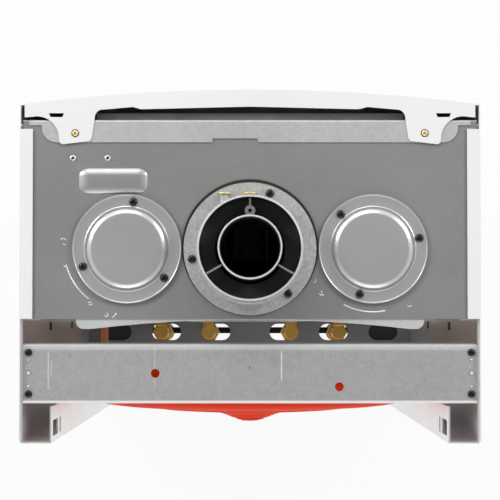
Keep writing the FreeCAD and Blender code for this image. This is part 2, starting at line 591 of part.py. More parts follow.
# Uprights: bent channels with a lip that carries the hanging slots.
crossbar_front = "(crossbar_wall_gap + crossbar_depth)"
for side, label in ((1, "right"), (-1, "left")):
    node = f"{label}_upright"
    lip = f"({inner} - upright_rear_flange)"
    tall = ("upright_foot", "upright_height")
    solid = fuse(
        f"{node}_sheet",
        slab(f"{node}_web", sides(side, web, inner), ("-chamber_rear", 0), tall),
        slab(f"{node}_rear", sides(side, lip, inner), ("-upright_sheet", 0), tall),
        slab(f"{node}_lip", sides(side, lip, f"{lip} + upright_sheet"), ("-upright_lip", 0), tall),
        slab(f"{node}_front", sides(side, f"{web} - upright_front_flange", inner),
             ("-chamber_rear", "-chamber_rear + upright_sheet"),
             ("upright_foot", "upright_height - crossbar_drop")),
        slab(f"{node}_tab", sides(side, f"{web} - upright_tab", inner),
             (f"-{crossbar_front} + 2 * crossbar_sheet", "-crossbar_wall_gap - 2 * crossbar_sheet"),
             ("upright_height - upright_sheet", "upright_height")))
    through = sides(side, f"{lip} - upright_sheet", f"{lip} + 2 * upright_sheet")
    slot_span = ("-hook_slot_wall_gap - hook_slot_width", "-hook_slot_wall_gap")
    across_web = sides(side, f"{web} - upright_sheet", f"{inner} + upright_sheet")
    slot_rear = "-chamber_rear + web_slot_edge + web_slot_width"
    cuts = [
        slab(f"{node}_hook", through, slot_span,
             ("upright_height - hook_slot_drop - hook_slot_height", "upright_height - hook_slot_drop")),
        slab(f"{node}_lip_hole", through, slot_span,
             ("upright_height - lip_hole_drop - lip_hole_height", "upright_height - lip_hole_drop")),
    ]
    for drop in ("web_slot_first_drop", "web_slot_second_drop"):
        cuts.append(slab(f"{node}_{drop}", across_web, ("-chamber_rear + web_slot_edge", slot_rear),
                         (f"upright_height - {drop} - web_slot_height", f"upright_height - {drop}")))
    for number in (-1, 1):
        cuts.append(rod(
            f"{node}_tab_hole_{number + 1}", "z", "end_screw_radius + screw_play",
            ("upright_height - 2 * upright_sheet", "upright_height + upright_sheet"),
            (offset(side, f"{web} - end_hole_inset"),
             f"-(crossbar_wall_gap + crossbar_depth / 2) + {number} * end_screw_pitch")))
    for number in (-1, 0, 1):
        cuts.append(rod(
            f"{node}_tab_end_hole_{number + 1}", "z",
            "end_hole_radius" if number else "end_hole_big_radius",
            ("upright_height - 2 * upright_sheet", "upright_height + upright_sheet"),
            (offset(side, f"{web} - end_hole_inset"),
             f"-(crossbar_wall_gap + crossbar_depth / 2) + {number} * end_hole_pitch")))
    keep(node, cut(node, solid, *cuts))

# Top crossbar: a channel lying on the uprights' tabs.
bar_half = f"({web} - crossbar_end_gap)"
bar_middle = "-(crossbar_wall_gap + crossbar_depth / 2)"
bar_deep = ("upright_height - crossbar_drop", "upright_height + crossbar_sheet")
bar_bore = ("upright_height - crossbar_sheet", "upright_height + 2 * crossbar_sheet")
bar_cuts = []
for side, label in ((1, "right"), (-1, "left")):
    hole_x = offset(side, f"{web} - end_hole_inset")
    for number in (-1, 0, 1):
        hole_radius = "end_hole_radius" if number else "end_hole_big_radius"
        bar_cuts.append(rod(f"bar_hole_{label}_{number + 1}", "z", hole_radius, bar_bore,
                            (hole_x, f"{bar_middle} + {number} * end_hole_pitch")))
    for number in (-1, 1):
        bar_cuts.append(rod(f"bar_screw_hole_{label}_{number + 1}", "z", "end_screw_radius + screw_play",
                            bar_bore,
                            (hole_x, f"{bar_middle} + {number} * end_screw_pitch")))
    bar_cuts.append(rod(f"bar_port_{label}", "z", "crossbar_hole_radius", bar_bore,
                        (offset(side, f"crossbar_hole_{label}"), f"-crossbar_hole_{label}_depth")))
bar_shell = cut(
    "crossbar_shell",
    slab("crossbar_block", (f"-{bar_half}", bar_half), (f"-{crossbar_front}", "-crossbar_wall_gap"),
         bar_deep),
    slab("crossbar_hollow", (f"-{half}", half),
         (f"-{crossbar_front} + crossbar_sheet", "-crossbar_wall_gap - crossbar_sheet"),
         ("upright_height - 2 * crossbar_drop", "upright_height")))
keep("top_crossbar", cut("top_crossbar", bar_shell, *bar_cuts))

screws = []
for side, label in ((1, "right"), (-1, "left")):
    for number in (-1, 1):
        spot = (offset(side, f"{web} - end_hole_inset"), f"{bar_middle} + {number} * end_screw_pitch")
        top = "(upright_height + crossbar_sheet)"
        screws.append(fuse(
            f"bar_screw_{label}_{number + 1}",
            rod(f"bar_screw_head_{label}_{number + 1}", "z", "end_screw_head",
                (top, f"{top} + end_screw_head_height"), spot),
            rod(f"bar_screw_shank_{label}_{number + 1}", "z", "end_screw_radius",
                (f"{top} - end_screw_length", top), spot)))
keep("crossbar_screws", group("crossbar_screws", *screws))

# Connection bracket: the black slotted bar that carries the pipe connectors.
bracket_under = "(bracket_top - bracket_sheet)"
bracket_shell = cut(
    "bracket_shell",
    slab("bracket_block", (f"-{web}", web), ("-bracket_front", "-bracket_rear"),
         ("bracket_top - bracket_drop", "bracket_top")),
    slab("bracket_hollow", (f"-{half}", half), ("-bracket_front + bracket_sheet",
                                                "-bracket_rear - bracket_sheet"),
         ("bracket_top - 2 * bracket_drop", bracket_under)))
bracket_cuts = []
for number in range(6):
    middle = offset(1 if number < 3 else -1, f"(bracket_slot_first + {number % 3} * bracket_slot_pitch)")
    straight = "(bracket_slot_length / 2 - bracket_slot_width / 2)"
    bore = (f"{bracket_under} - bracket_sheet", "bracket_top + bracket_sheet")
    bracket_cuts.append(fuse(
        f"bracket_slot_{number}",
        slab(f"bracket_slot_{number}_middle", (f"{middle} - {straight}", f"{middle} + {straight}"),
             ("-bracket_slot_depth - bracket_slot_width / 2",
              "-bracket_slot_depth + bracket_slot_width / 2"), bore),
        rod(f"bracket_slot_{number}_low", "z", "bracket_slot_width / 2", bore,
            (f"{middle} - {straight}", "-bracket_slot_depth")),
        rod(f"bracket_slot_{number}_high", "z", "bracket_slot_width / 2", bore,
            (f"{middle} + {straight}", "-bracket_slot_depth"))))
wall_foot = fuse(
    "wall_foot",
    slab("wall_foot_arm", ("-wall_foot_half", "wall_foot_half"), ("-bracket_rear - bracket_sheet", "0"),
         (bracket_under, "bracket_top")),
    slab("wall_foot_face", ("-wall_foot_half", "wall_foot_half"), ("-bracket_sheet", "0"),
         ("-wall_foot_drop", "bracket_top")))
bracket = fuse("bracket_with_foot", bracket_shell, wall_foot)
keep("connection_bracket", cut("connection_bracket", bracket, *bracket_cuts))

# Expansion vessel: a flat round pressed vessel with a seam, a bell boss and a nipple below.
vessel_run = [
    ("vessel_flat_radius", "vessel_middle - vessel_rear - vessel_flat_drop"),
    ("vessel_radius", "vessel_seam_width / 2", "vessel_knuckle", -1),
    ("vessel_radius + vessel_seam", "vessel_seam_width / 2"),
    ("vessel_radius + vessel_seam", "-vessel_seam_width / 2"),
    ("vessel_radius", "-vessel_seam_width / 2"),
    ("vessel_flat_radius", "-(vessel_front - vessel_middle - vessel_flat_drop)", "vessel_knuckle", -1),
    ("0", "-(vessel_front - vessel_middle)"),
]
vessel = turned("vessel", [
    ("0", "vessel_middle - vessel_boss_rear"),
    ("vessel_boss_top_radius", "vessel_middle - vessel_boss_rear"),
    ("vessel_boss_radius", "vessel_middle - vessel_rear"),
    *vessel_run,
], "y", "-vessel_middle", (0, "vessel_height"))
vessel_inside = turned("vessel_inside", [
    ("0", "vessel_middle - vessel_rear - vessel_wall"),
    ("vessel_flat_radius", "vessel_middle - vessel_rear - vessel_flat_drop - vessel_wall"),
    ("vessel_radius - vessel_wall", "0", "vessel_knuckle - vessel_wall", -1),
    ("vessel_flat_radius", "-(vessel_front - vessel_middle - vessel_flat_drop - vessel_wall)",
     "vessel_knuckle - vessel_wall", -1),
    ("0", "-(vessel_front - vessel_middle - vessel_wall)"),
], "y", "-vessel_middle", (0, "vessel_height"))
nipple_low = "(vessel_height - sqrt(vessel_radius ^ 2 - nipple_offset ^ 2) - nipple_length)"
nipple_at = ("nipple_offset", "-vessel_middle")
nipple_span = (nipple_low, f"{nipple_low} + 3 * nipple_length")
keep("expansion_vessel", cut(
    "expansion_vessel",
    fuse("vessel_shell", vessel, rod("vessel_nipple", "z", "nipple_radius", nipple_span, nipple_at)),
    vessel_inside,
    rod("nipple_bore", "z", "feed_pipe_radius - pipe_wall", nipple_span, nipple_at)))
cradle_top = "(vessel_height - vessel_radius - vessel_seam - rest_gap)"
cradle_shell = cut(
    "cradle_shell",
    slab("cradle_block", (f"-{web}", web), ("-cradle_front", "-cradle_rear"),
         (f"{cradle_top} - cradle_drop", cradle_top)),
    slab("cradle_hollow", (f"-{half}", half), ("-cradle_front + cradle_sheet",
                                               "-cradle_rear - cradle_sheet"),
         (f"{cradle_top} - 2 * cradle_drop", f"{cradle_top} - cradle_sheet")))
keep("vessel_cradle", cut("vessel_cradle", cradle_shell, rod(
    "cradle_hole", "z", "feed_pipe_radius + pipe_hole_play",
    (f"{cradle_top} - cradle_drop", f"{cradle_top} + cradle_sheet"),
    ("nipple_offset", "-vessel_middle"))))

# Sealed chamber: tray, top plate and front cover.
port_bore = (f"{plate_low} - chamber_sheet", "casing_height + collar_height")
tray_block = slab("tray_block", (f"-{chamber_half}", chamber_half), ("-chamber_front", "-chamber_rear"),
                  ("chamber_floor", plate_low))
tray_hollow = slab("tray_hollow", (f"-{chamber_half} + chamber_sheet", f"{chamber_half} - chamber_sheet"),
                   ("-casing_depth", "-chamber_rear - chamber_sheet"), (floor_top, "casing_height"))
saddle = padded("saddle", FLAT, [
    ("saddle_outer", "-chamber_rear - chamber_sheet"),
    ("saddle_outer", "-chamber_rear + saddle_reach - saddle_corner"),
    ("saddle_outer - saddle_corner", "-chamber_rear + saddle_reach", "saddle_corner", 1),
    ("saddle_inner", "-chamber_rear + saddle_reach"),
    ("0", "-chamber_rear + saddle_middle_reach", "saddle_radius", -1),
    ("-saddle_inner", "-chamber_rear + saddle_reach", "saddle_radius", -1),
    ("-saddle_outer + saddle_corner", "-chamber_rear + saddle_reach"),
    ("-saddle_outer", "-chamber_rear + saddle_reach - saddle_corner", "saddle_corner", 1),
    ("-saddle_outer", "-chamber_rear - chamber_sheet"),
], "chamber_sheet", f"{plate_low} - chamber_sheet")
tray_floor = ("chamber_floor - chamber_sheet", f"{floor_top} + chamber_sheet")
tray_holes = [rod("tray_gas_hole", "z", "gas_pipe_radius + pipe_hole_play", tray_floor,
                  (0, "-manifold_depth"))]
for side, label in ((1, "right"), (-1, "left")):
    tray_holes.append(rod(f"tray_pipe_hole_{label}", "z", "pipe_radius + pipe_hole_play", tray_floor,
                          (offset(side, "pipe_spread"), "-pipe_front")))
keep("chamber_tray", cut("chamber_tray",
                         fuse("tray_sheet", cut("tray_shell", tray_block, tray_hollow), saddle),
                         *tray_holes))

flue = ("0", "-flue_depth")
ports = {"flue": flue, "right": ("port_spacing", "-flue_depth"), "left": ("-port_spacing", "-flue_depth")}
circles = {"flue": ("adapter_screw_circle", "adapter_screw_turn"),
           "right": ("cover_screw_circle", "right_cover_screw_turn"),
           "left": ("cover_screw_circle", "left_cover_screw_turn")}
seats = {"flue": f"({plate_top} + flue_gasket_height + adapter_flange)",
         "right": f"({plate_top} + intake_gasket_height + cover_sheet)",
         "left": f"({plate_top} + intake_gasket_height + cover_sheet)"}


def screw_spots(port):
    circle, turn = circles[port]
    return [on_circle(ports[port], circle, f"{turn} + {number} * 360 / {SCREW_COUNT}")
            for number in range(SCREW_COUNT)]


def screw_holes(owner, port):
    return [rod(f"{owner}_{port}_hole_{number}", "z", "port_screw_radius + screw_play", port_bore, spot)
            for number, spot in enumerate(screw_spots(port))]


plate = slab("plate_sheet", (f"-{chamber_half}", chamber_half), ("-chamber_front", "-chamber_rear"),
             (plate_low, plate_top))
pillow = doc.addObject("Part::Wedge", "pillow")
pillow_slope = "(pillow_front - pillow_rear) * pillow_slope_share"
for path, formula in (
    ("Xmin", "pillow_low"),
    ("Xmax", "pillow_high"),
    ("X2min", "pillow_low + pillow_top_inset"),
    ("X2max", "pillow_high - pillow_top_inset"),
    ("Ymin", "0"),
    ("Ymax", "pillow_height"),
    ("Zmin", "pillow_rear"),
    ("Zmax", "pillow_front"),
    ("Z2min", f"pillow_rear + {pillow_slope}"),
    ("Z2max", f"pillow_front - {pillow_slope}"),
):
    bind(pillow, path, formula)
pillow.Placement.Rotation = FreeCAD.Rotation(AXES["y"], AXES["z"])
bind(pillow, "Placement.Base.z", plate_top)
plate_cuts = [rod("plate_air", "z", "air_radius", port_bore, flue)]
for port in ("right", "left"):
    plate_cuts.append(rod(f"plate_port_{port}", "z", "port_radius", port_bore, ports[port]))
for port in ports:
    plate_cuts += screw_holes("plate", port)
for label in ("outer", "inner"):
    plate_cuts.append(rod(f"plate_rivet_hole_{label}", "z", "rivet_radius + screw_play", port_bore,
                          (f"rivet_{label}", "-rivet_depth")))
keep("chamber_top", cut("chamber_top", fuse("plate_pressing", plate, pillow), *plate_cuts))

cover_face = "(chamber_front + chamber_sheet)"
flange_back = f"({cover_face} - cover_flange_depth)"
cover_run = [
    ("cover_tab_half", f"-{cover_face}"),
    ("cover_tab_half", f"-{cover_face} + cover_tab_depth"),
    ("cover_flange_half", f"-{cover_face} + cover_tab_depth"),
    ("cover_flange_half", f"-{flange_back} - cover_flange_corner"),
    ("cover_flange_half - cover_flange_corner", f"-{flange_back}", "cover_flange_corner", 1),
]
cover_flange = padded("cover_flange", FLAT, [
    *cover_run,
    ("cover_notch_right", f"-{flange_back}"),
    ("cover_notch_right", f"-{flange_back} - cover_notch_depth"),
    ("-cover_notch_left", f"-{flange_back} - cover_notch_depth"),
    ("-cover_notch_left", f"-{flange_back}"),
    *mirrored(cover_run),
], "chamber_sheet", plate_top)
cover_sheet_piece = slab("cover_sheet_piece", (f"-{chamber_half}", chamber_half),
                         (f"-{cover_face}", "-chamber_front"),
                         ("chamber_floor", plate_top))
cover_holes = [rod(f"cover_hole_{label}", "z", "casing_screw_radius + screw_play", port_bore,
                   (offset(side, "casing_screw_spacing / 2"), "-casing_screw_depth"))
               for side, label in ((1, "right"), (-1, "left"))]
keep("chamber_cover", cut("chamber_cover", fuse("cover_pressing", cover_sheet_piece, cover_flange),
                          *cover_holes))

casing_screws = []
for side, label in ((1, "right"), (-1, "left")):
    spot = (offset(side, "casing_screw_spacing / 2"), "-casing_screw_depth")
    casing_screws.append(fuse(
        f"casing_screw_{label}",
        rod(f"casing_screw_head_{label}", "z", "casing_screw_head",
            ("casing_height", "casing_height + casing_screw_head_height"), spot),
        rod(f"casing_screw_shank_{label}", "z", "casing_screw_radius", (plate_top, "casing_height"), spot)))
keep("casing_screws", group("casing_screws", *casing_screws))

rivets = []
for label in ("outer", "inner"):
    spot = (f"rivet_{label}", "-rivet_depth")
    rivets.append(fuse(
        f"rivet_{label}_solid",
        rod(f"rivet_{label}_head", "z", "rivet_head", (plate_top, f"{plate_top} + rivet_head_height"),
            spot),
        rod(f"rivet_{label}_shank", "z", "rivet_radius", (f"{plate_top} - rivet_length", plate_top), spot)))
keep("plate_rivets", group("plate_rivets", *rivets))

# Flue adapter: flange and air collar in one casting; the flue spigot, spokes and probe tube pressed into it.
flange_top = seats["flue"]
rim = f"({plate_top} + collar_height)"
spigot_top = f"({plate_top} + spigot_height)"
flange_base = f"({flange_top} - adapter_flange)"
base_top = f"({flange_top} + collar_base_height)"
casting = turned("collar", [
    ("collar_radius - collar_wall", "0"),
    ("adapter_radius", "0"),
    ("adapter_radius", "adapter_flange"),
    ("collar_base_radius", "adapter_flange"),
    ("collar_base_radius", "adapter_flange + collar_base_height"),
    ("collar_radius", "adapter_flange + collar_base_height"),
    ("collar_radius", f"{rim} - {flange_base}"),
    ("collar_radius - collar_wall", f"{rim} - {flange_base}"),
], "z", flange_base, flue)
shoulder_top = f"({flange_base} + spoke_high + 2 * probe_rise)"
spigot = turned("spigot", [
    ("spigot_radius - spigot_wall", "0"),
    ("spigot_radius + spigot_shoulder", "0"),
    ("spigot_radius + spigot_shoulder", f"{shoulder_top} - spigot_foot"),
    ("spigot_radius", f"{shoulder_top} - spigot_foot"),
    ("spigot_radius", f"{spigot_top} - spigot_foot"),
    ("spigot_radius - spigot_wall", f"{spigot_top} - spigot_foot"),
], "z", "spigot_foot", flue)
spokes = []
for number in range(SPOKE_COUNT):
    turn = f"(spoke_turn + {number} * 360 / {SPOKE_COUNT})"
    start = "(spigot_radius - spigot_wall / 2)"
    spoke = doc.addObject("Part::Box", f"spoke_{number}")
    bind(spoke, "Length", "collar_radius - collar_wall / 2 - spigot_radius + spigot_wall / 2")
    bind(spoke, "Width", "spoke_sheet")
    bind(spoke, "Height", "spoke_high - spoke_low")
    spoke.Placement.Rotation = FreeCAD.Rotation(AXES["z"], size(turn))
    bind(spoke, "Placement.Base.x", f"{start} * cos({turn} * 1deg) + spoke_sheet / 2 * sin({turn} * 1deg)")
    bind(spoke, "Placement.Base.y",
         f"-flue_depth + {start} * sin({turn} * 1deg) - spoke_sheet / 2 * cos({turn} * 1deg)")
    bind(spoke, "Placement.Base.z", f"{flange_base} + spoke_low")
    spokes.append(spoke)
probe_at = (0, "-flue_depth - probe_distance")
probe_span = (f"{flange_base} + spoke_low", f"{flange_base} + spoke_high + probe_rise")
probe = rod("probe_tube", "z", "probe_radius", probe_span, probe_at)
probe_bore = rod("probe_hole", "z", "probe_bore",
                 (f"{flange_base} + spoke_low + spoke_sheet", "casing_height + collar_height"), probe_at)
test_height = f"({flange_top} + test_point_height)"
test_axis = {"side": "test_point_offset", "middle": "0"}
bosses = [rod(f"test_boss_{label}", "y", "test_point_radius",
              ("-flue_depth - test_point_reach", "-flue_depth - collar_radius + 4 * collar_wall"),
              (across, test_height)) for label, across in test_axis.items()]
side_boss = cut("test_boss_trimmed", fuse("test_bosses", *bosses), rod(
    "boss_inside", "z", "collar_radius - collar_wall / 2", (flange_base, rim), flue))
adapter = fuse("adapter_casting", casting, side_boss)
keep("flue_adapter", cut("flue_adapter", adapter, *screw_holes("adapter", "flue")))
tube = fuse("tube_casting", spigot, *spokes, probe)
keep("spigot_tube", cut("spigot_tube", tube, probe_bore, casting))
keep("test_point_plugs", group("test_point_plugs", *(
    rod(f"test_plug_{label}", "y", "test_plug_radius",
        ("-flue_depth - test_point_reach - test_plug_length", "-flue_depth - test_point_reach"),
        (across, test_height))
    for label, across in test_axis.items())))

gasket_at = (0, "-flue_depth - flue_gasket_shift")
keep("flue_gasket", cut("flue_gasket",
                        rod("flue_gasket_disc", "z", "flue_gasket_radius", (plate_top, flange_base),
                            gasket_at),
                        rod("flue_gasket_bore", "z", "air_radius", port_bore, flue),
                        *screw_holes("gasket", "flue")))
seals = []
for label in ("right", "left"):
    seals.append(cut(
        f"intake_gasket_{label}",
        rod(f"intake_gasket_{label}_disc", "z", "intake_gasket_radius",
            (plate_top, f"{plate_top} + intake_gasket_height"), ports[label]),
        rod(f"intake_gasket_{label}_bore", "z", "intake_gasket_bore", port_bore, ports[label]),
        *screw_holes("seal", label)))
    node = f"{label}_intake_cover"
    lid = turned(f"{node}_lid", [
        ("0", "cover_rise"),
        ("cover_top_radius - cover_sheet", "cover_rise"),
        ("cover_dish_radius - cover_sheet", "0"),
        ("cover_radius", "0"),
        ("cover_radius", "cover_sheet"),
        ("cover_dish_radius", "cover_sheet"),
        ("cover_top_radius", "cover_rise + cover_sheet"),
        ("0", "cover_rise + cover_sheet"),
    ], "z", f"{plate_top} + intake_gasket_height", ports[label])
    keep(node, cut(node, lid, *screw_holes("lid", label)))
keep("intake_gaskets", group("intake_gaskets", *seals))

port_screws = []
for port, seat in seats.items():
    for number, spot in enumerate(screw_spots(port)):
        port_screws.append(fuse(
            f"port_screw_{port}_{number}",
            rod(f"port_screw_head_{port}_{number}", "z", "port_screw_head",
                (seat, f"{seat} + port_screw_head_height"), spot),
            rod(f"port_screw_shank_{port}_{number}", "z", "port_screw_radius",
                (f"{seat} - port_screw_length", seat), spot)))
keep("port_screws", group("port_screws", *port_screws))

# Burner, furnace box, heat exchanger and flue hood stand on each other.
stack_x = ("-stack_half", "stack_half")
stack_y = ("-stack_front", "-stack_rear")
inside_x = ("-stack_half + stack_sheet", "stack_half - stack_sheet")
inside_y = ("-stack_front + stack_sheet", "-stack_rear - stack_sheet")
burner_top = f"({floor_top} + burner_height)"
furnace_top = f"({burner_top} + furnace_height)"
exchanger_top = f"({furnace_top} + exchanger_height)"
hood_top = f"({exchanger_top} + hood_height)"
bars = [slab(f"burner_bar_{number}",
             (f"({number} - {BAR_COUNT - 1} / 2) * burner_bar_pitch - burner_bar_width / 2",
              f"({number} - {BAR_COUNT - 1} / 2) * burner_bar_pitch + burner_bar_width / 2"),
             ("-stack_front + stack_sheet / 2", "-stack_rear - stack_sheet / 2"),
             (f"{burner_top} - burner_bar_drop - burner_bar_height", f"{burner_top} - burner_bar_drop"))
        for number in range(BAR_COUNT)]
burner_shell = cut("burner_shell", slab("burner_block", stack_x, stack_y, (floor_top, burner_top)),
                   slab("burner_hollow", inside_x, inside_y, (f"{floor_top} + stack_sheet",
                                                              "casing_height")))
keep("burner", fuse("burner", burner_shell, *bars))

electrode_axis = {"spark": "-spark_offset", "ground": "-spark_offset + spark_pitch",
                  "sensor": "sensor_offset"}
electrode_z = f"({burner_top} + electrode_height)"


def electrode_holes(owner):
    return [rod(f"{owner}_{label}_hole", "y", "electrode_radius + screw_play",
                ("-casing_depth", "-flue_depth"), (across, electrode_z))
            for label, across in electrode_axis.items()]


furnace_shell = cut("furnace_shell", slab("furnace_block", stack_x, stack_y, (burner_top, furnace_top)),
                    slab("furnace_hollow", inside_x, inside_y, ("chamber_floor", "casing_height")))
keep("combustion_chamber", cut("combustion_chamber", furnace_shell, *electrode_holes("furnace")))
board_z = (burner_top, furnace_top)
front_board = slab("insulation_front_board", inside_x, (inside_y[0], f"{inside_y[0]} + insulation"),
                   board_z)
keep("insulation_boards", group(
    "insulation_boards",
    cut("insulation_front", front_board, *electrode_holes("insulation")),
    slab("insulation_rear", inside_x, (f"{inside_y[1]} - insulation", inside_y[1]), board_z),
    *(slab(f"insulation_{label}", sides(side, f"{inside_x[1]} - insulation", inside_x[1]),
           (f"{inside_y[0]} + insulation", f"{inside_y[1]} - insulation"), board_z)
      for side, label in ((1, "right"), (-1, "left")))))
rods = []
for label, across in electrode_axis.items():
    stub = ("-stack_front - electrode_front", "-stack_front + electrode_reach")
    tip = ("-stack_front", "-stack_front + electrode_reach + electrode_tip_reach")
    rods.append(fuse(f"electrode_{label}", rod(f"electrode_{label}_stub", "y", "electrode_radius", stub,
                                               (across, electrode_z)),
                     rod(f"electrode_{label}_tip", "y", "electrode_tip", tip, (across, electrode_z))))
keep("electrodes", group("electrodes", *rods))

fins = [slab(f"fin_{number}",
             (f"({number} - {FIN_COUNT - 1} / 2) * fin_pitch - fin_sheet / 2",
              f"({number} - {FIN_COUNT - 1} / 2) * fin_pitch + fin_sheet / 2"),
             stack_y, (furnace_top, exchanger_top)) for number in range(FIN_COUNT)]
tubes = [rod(f"exchanger_tube_{number}", "x", "exchanger_tube", stack_x,
             (f"-(stack_front + stack_rear) / 2 + ({number} - {TUBE_COUNT - 1} / 2) * exchanger_tube_pitch",
              f"{furnace_top} + exchanger_height / 2"))
         for number in range(TUBE_COUNT)]
ends = [slab(f"exchanger_end_{label}", sides(side, "stack_half - exchanger_end", "stack_half"), stack_y,
             (furnace_top, exchanger_top))
        for side, label in ((1, "right"), (-1, "left"))]
keep("heat_exchanger", fuse("heat_exchanger", *ends, *tubes, *fins))

fan_x = "-fan_offset"
fan_rear = "(-flue_depth + fan_depth / 2)"
fan_front = "(-flue_depth - fan_depth / 2)"
fan_z = f"({hood_top} + fan_rise + fan_radius)"
riser_x = ("-fan_offset - riser_half", "-fan_offset + riser_half")
riser_top = f"({hood_top} + riser_height)"
hood = cut(
    "hood_shell",
    fuse("hood_block", slab("hood_base", stack_x, stack_y, (exchanger_top, hood_top)),
         slab("hood_riser", riser_x, (fan_rear, "-stack_rear"), (exchanger_top, riser_top))),
    slab("hood_hollow", inside_x, inside_y, ("chamber_floor", f"{hood_top} - stack_sheet")),
    slab("riser_hollow", ("-fan_offset - riser_half + stack_sheet",
                          "-fan_offset + riser_half - stack_sheet"),
         (f"{fan_rear} + stack_sheet", "-stack_rear - stack_sheet"),
         ("chamber_floor", f"{riser_top} - stack_sheet")),
    rod("riser_inlet", "y", "fan_inlet_radius", (f"{fan_rear} - stack_sheet",
                                                 f"{fan_rear} + 2 * stack_sheet"), (fan_x, fan_z)))
keep("flue_hood", hood)

# Fan: drum with an outlet up to the flue spigot, motor in front, wheel on the motor's shaft.
drum = rod("fan_drum", "y", "fan_radius", (fan_front, fan_rear), (fan_x, fan_z))
outlet = rod("fan_outlet", "z", "spigot_radius", (fan_z, "spigot_foot"), flue)
outlet_bore = rod("fan_outlet_bore", "z", "spigot_radius - spigot_wall",
                  (fan_z, "spigot_foot + spigot_wall"), flue)
fan_foot = slab("fan_foot", ("-fan_offset - fan_foot_width / 2", "-fan_offset + fan_foot_width / 2"),
                (fan_front, fan_rear),
                (hood_top, f"{hood_top} + fan_foot_height"))
drum_inside = rod("fan_drum_inside", "y", "fan_radius - fan_wall",
                  (f"{fan_front} + fan_wall", f"{fan_rear} - fan_wall"), (fan_x, fan_z))
inlet = rod("fan_inlet", "y", "fan_inlet_radius", (f"{fan_rear} - 2 * fan_wall", f"{fan_rear} + fan_wall"),
            (fan_x, fan_z))
shaft_hole = rod("fan_shaft_hole", "y", "fan_shaft_radius + shaft_hole_play",
                 (f"{fan_front} - fan_wall", f"{fan_front} + 2 * fan_wall"), (fan_x, fan_z))
keep("fan_housing", cut("fan_housing", fuse("fan_shell", drum, outlet, fan_foot), drum_inside, outlet_bore,
                        inlet, shaft_hole))
keep("fan_motor", fuse("fan_motor",
                       rod("fan_motor_can", "y", "fan_motor_radius", (f"{fan_front} - fan_motor_length",
                                                                      fan_front), (fan_x, fan_z)),
                       rod("fan_shaft", "y", "fan_shaft_radius", (fan_front,
                                                                  f"{fan_front} + fan_shaft_length"),
                                                                  (fan_x, fan_z))))
wheel_low = f"({fan_front} + wheel_front_gap)"
wheel_core = turned("wheel_core", [
    ("fan_shaft_radius + running_gap", "0"),
    ("wheel_radius", "0"),
    ("wheel_radius", "wheel_disc"),
    ("wheel_hub_radius", "wheel_disc"),
    ("wheel_hub_radius", "wheel_depth"),
    ("fan_shaft_radius + running_gap", "wheel_depth"),
], "y", wheel_low, (fan_x, fan_z))
blades = radial("wheel_blade", ("wheel_inner_radius", "wheel_radius"), "wheel_blade",
                ("wheel_disc / 2", "wheel_depth"), BLADE_COUNT,
                "y", wheel_low, (fan_x, fan_z))
keep("fan_wheel", fuse("fan_wheel", wheel_core, *blades))

switch_x = (f"-{chamber_half} + chamber_sheet", f"-{chamber_half} + chamber_sheet + switch_depth")
keep("pressure_switch", fuse(
    "pressure_switch",
    rod("switch_can", "x", "switch_radius", switch_x, ("-switch_forward", "switch_height")),
    rod("switch_nozzle", "x", "switch_port", (switch_x[0], f"{switch_x[1]} + switch_port_length"),
        ("-switch_forward", "switch_height"))))

# Gas side.
injectors = [rod(f"injector_{number}", "y", "injector_radius", ("-manifold_depth", "-stack_front"),
                 (f"({number} - {BAR_COUNT - 1} / 2) * burner_bar_pitch",
                  "manifold_height")) for number in range(BAR_COUNT)]
manifold = rod("manifold_tube", "x", "manifold_radius", ("-manifold_half", "manifold_half"),
               ("-manifold_depth", "manifold_height"))
gas_seat = rod("manifold_seat", "z", "gas_pipe_radius",
               ("manifold_height - 2 * manifold_radius", "manifold_height"), (0, "-manifold_depth"))
keep("gas_manifold", fuse("gas_manifold", manifold, gas_seat, *injectors))
coils = [rod(f"gas_valve_coil_{label}", "z", "gas_valve_coil",
             ("gas_valve_high", "gas_valve_high + gas_valve_coil_height"),
             (offset(side, "gas_valve_coil_offset"), "-(gas_valve_front + gas_valve_rear) / 2"))
         for side, label in ((1, "right"), (-1, "left"))]
keep("gas_valve", fuse("gas_valve",
                       slab("gas_valve_block", ("-gas_valve_half", "gas_valve_half"),
                            ("-gas_valve_front", "-gas_valve_rear"),
                                         ("gas_valve_low", "gas_valve_high")), *coils))
keep("gas_pipes", group(
    "gas_pipes",
    bent("gas_inlet_pipe", [("0", "-bracket_slot_depth - gas_stub", "gas_pipe_height"),
                            ("0", "-gas_outlet_depth", "gas_pipe_height"),
                            ("0", "-gas_outlet_depth", "gas_valve_low")],
         "gas_pipe_radius", "pipe_bend", "pipe_wall"),
    bent("gas_burner_pipe", [("0", "-gas_outlet_depth", "gas_valve_high"),
                             ("0", "-gas_outlet_depth", "gas_turn_height"),
                             ("0", "-manifold_depth", "gas_turn_height"),
                             ("0", "-manifold_depth", "manifold_height - 2 * manifold_radius")],
         "gas_pipe_radius", "pipe_bend", "pipe_wall")))

# Water side: two blocks in front of the bracket, plate exchanger between them, pump on the right one.
block_y = ("-block_front", "-block_rear")


def block(label, side):
    body = slab(f"{label}_body", sides(side, "block_inner", "block_outer"), block_y,
                ("block_bottom", "block_top"))
    foot = slab(f"{label}_foot", sides(side, "block_inner", "block_outer"),
                ("-bracket_front - block_foot_depth", "-bracket_front"),
                ("bracket_top - block_foot_drop", "block_bottom"))
    tap = rod(f"{label}_tap", "y", "tap_radius", ("-block_front - tap_length", "-block_front"),
              (offset(side, "block_axis"), "tap_height"))
    stem = rod(f"{label}_stem", "y", "tap_stem", ("-block_front - tap_length - tap_stem_length",
                                                  "-block_front"), (offset(side, "block_axis"),
                                                                    "tap_height"))
    return fuse(f"{label}_casting", body, foot, tap, stem)


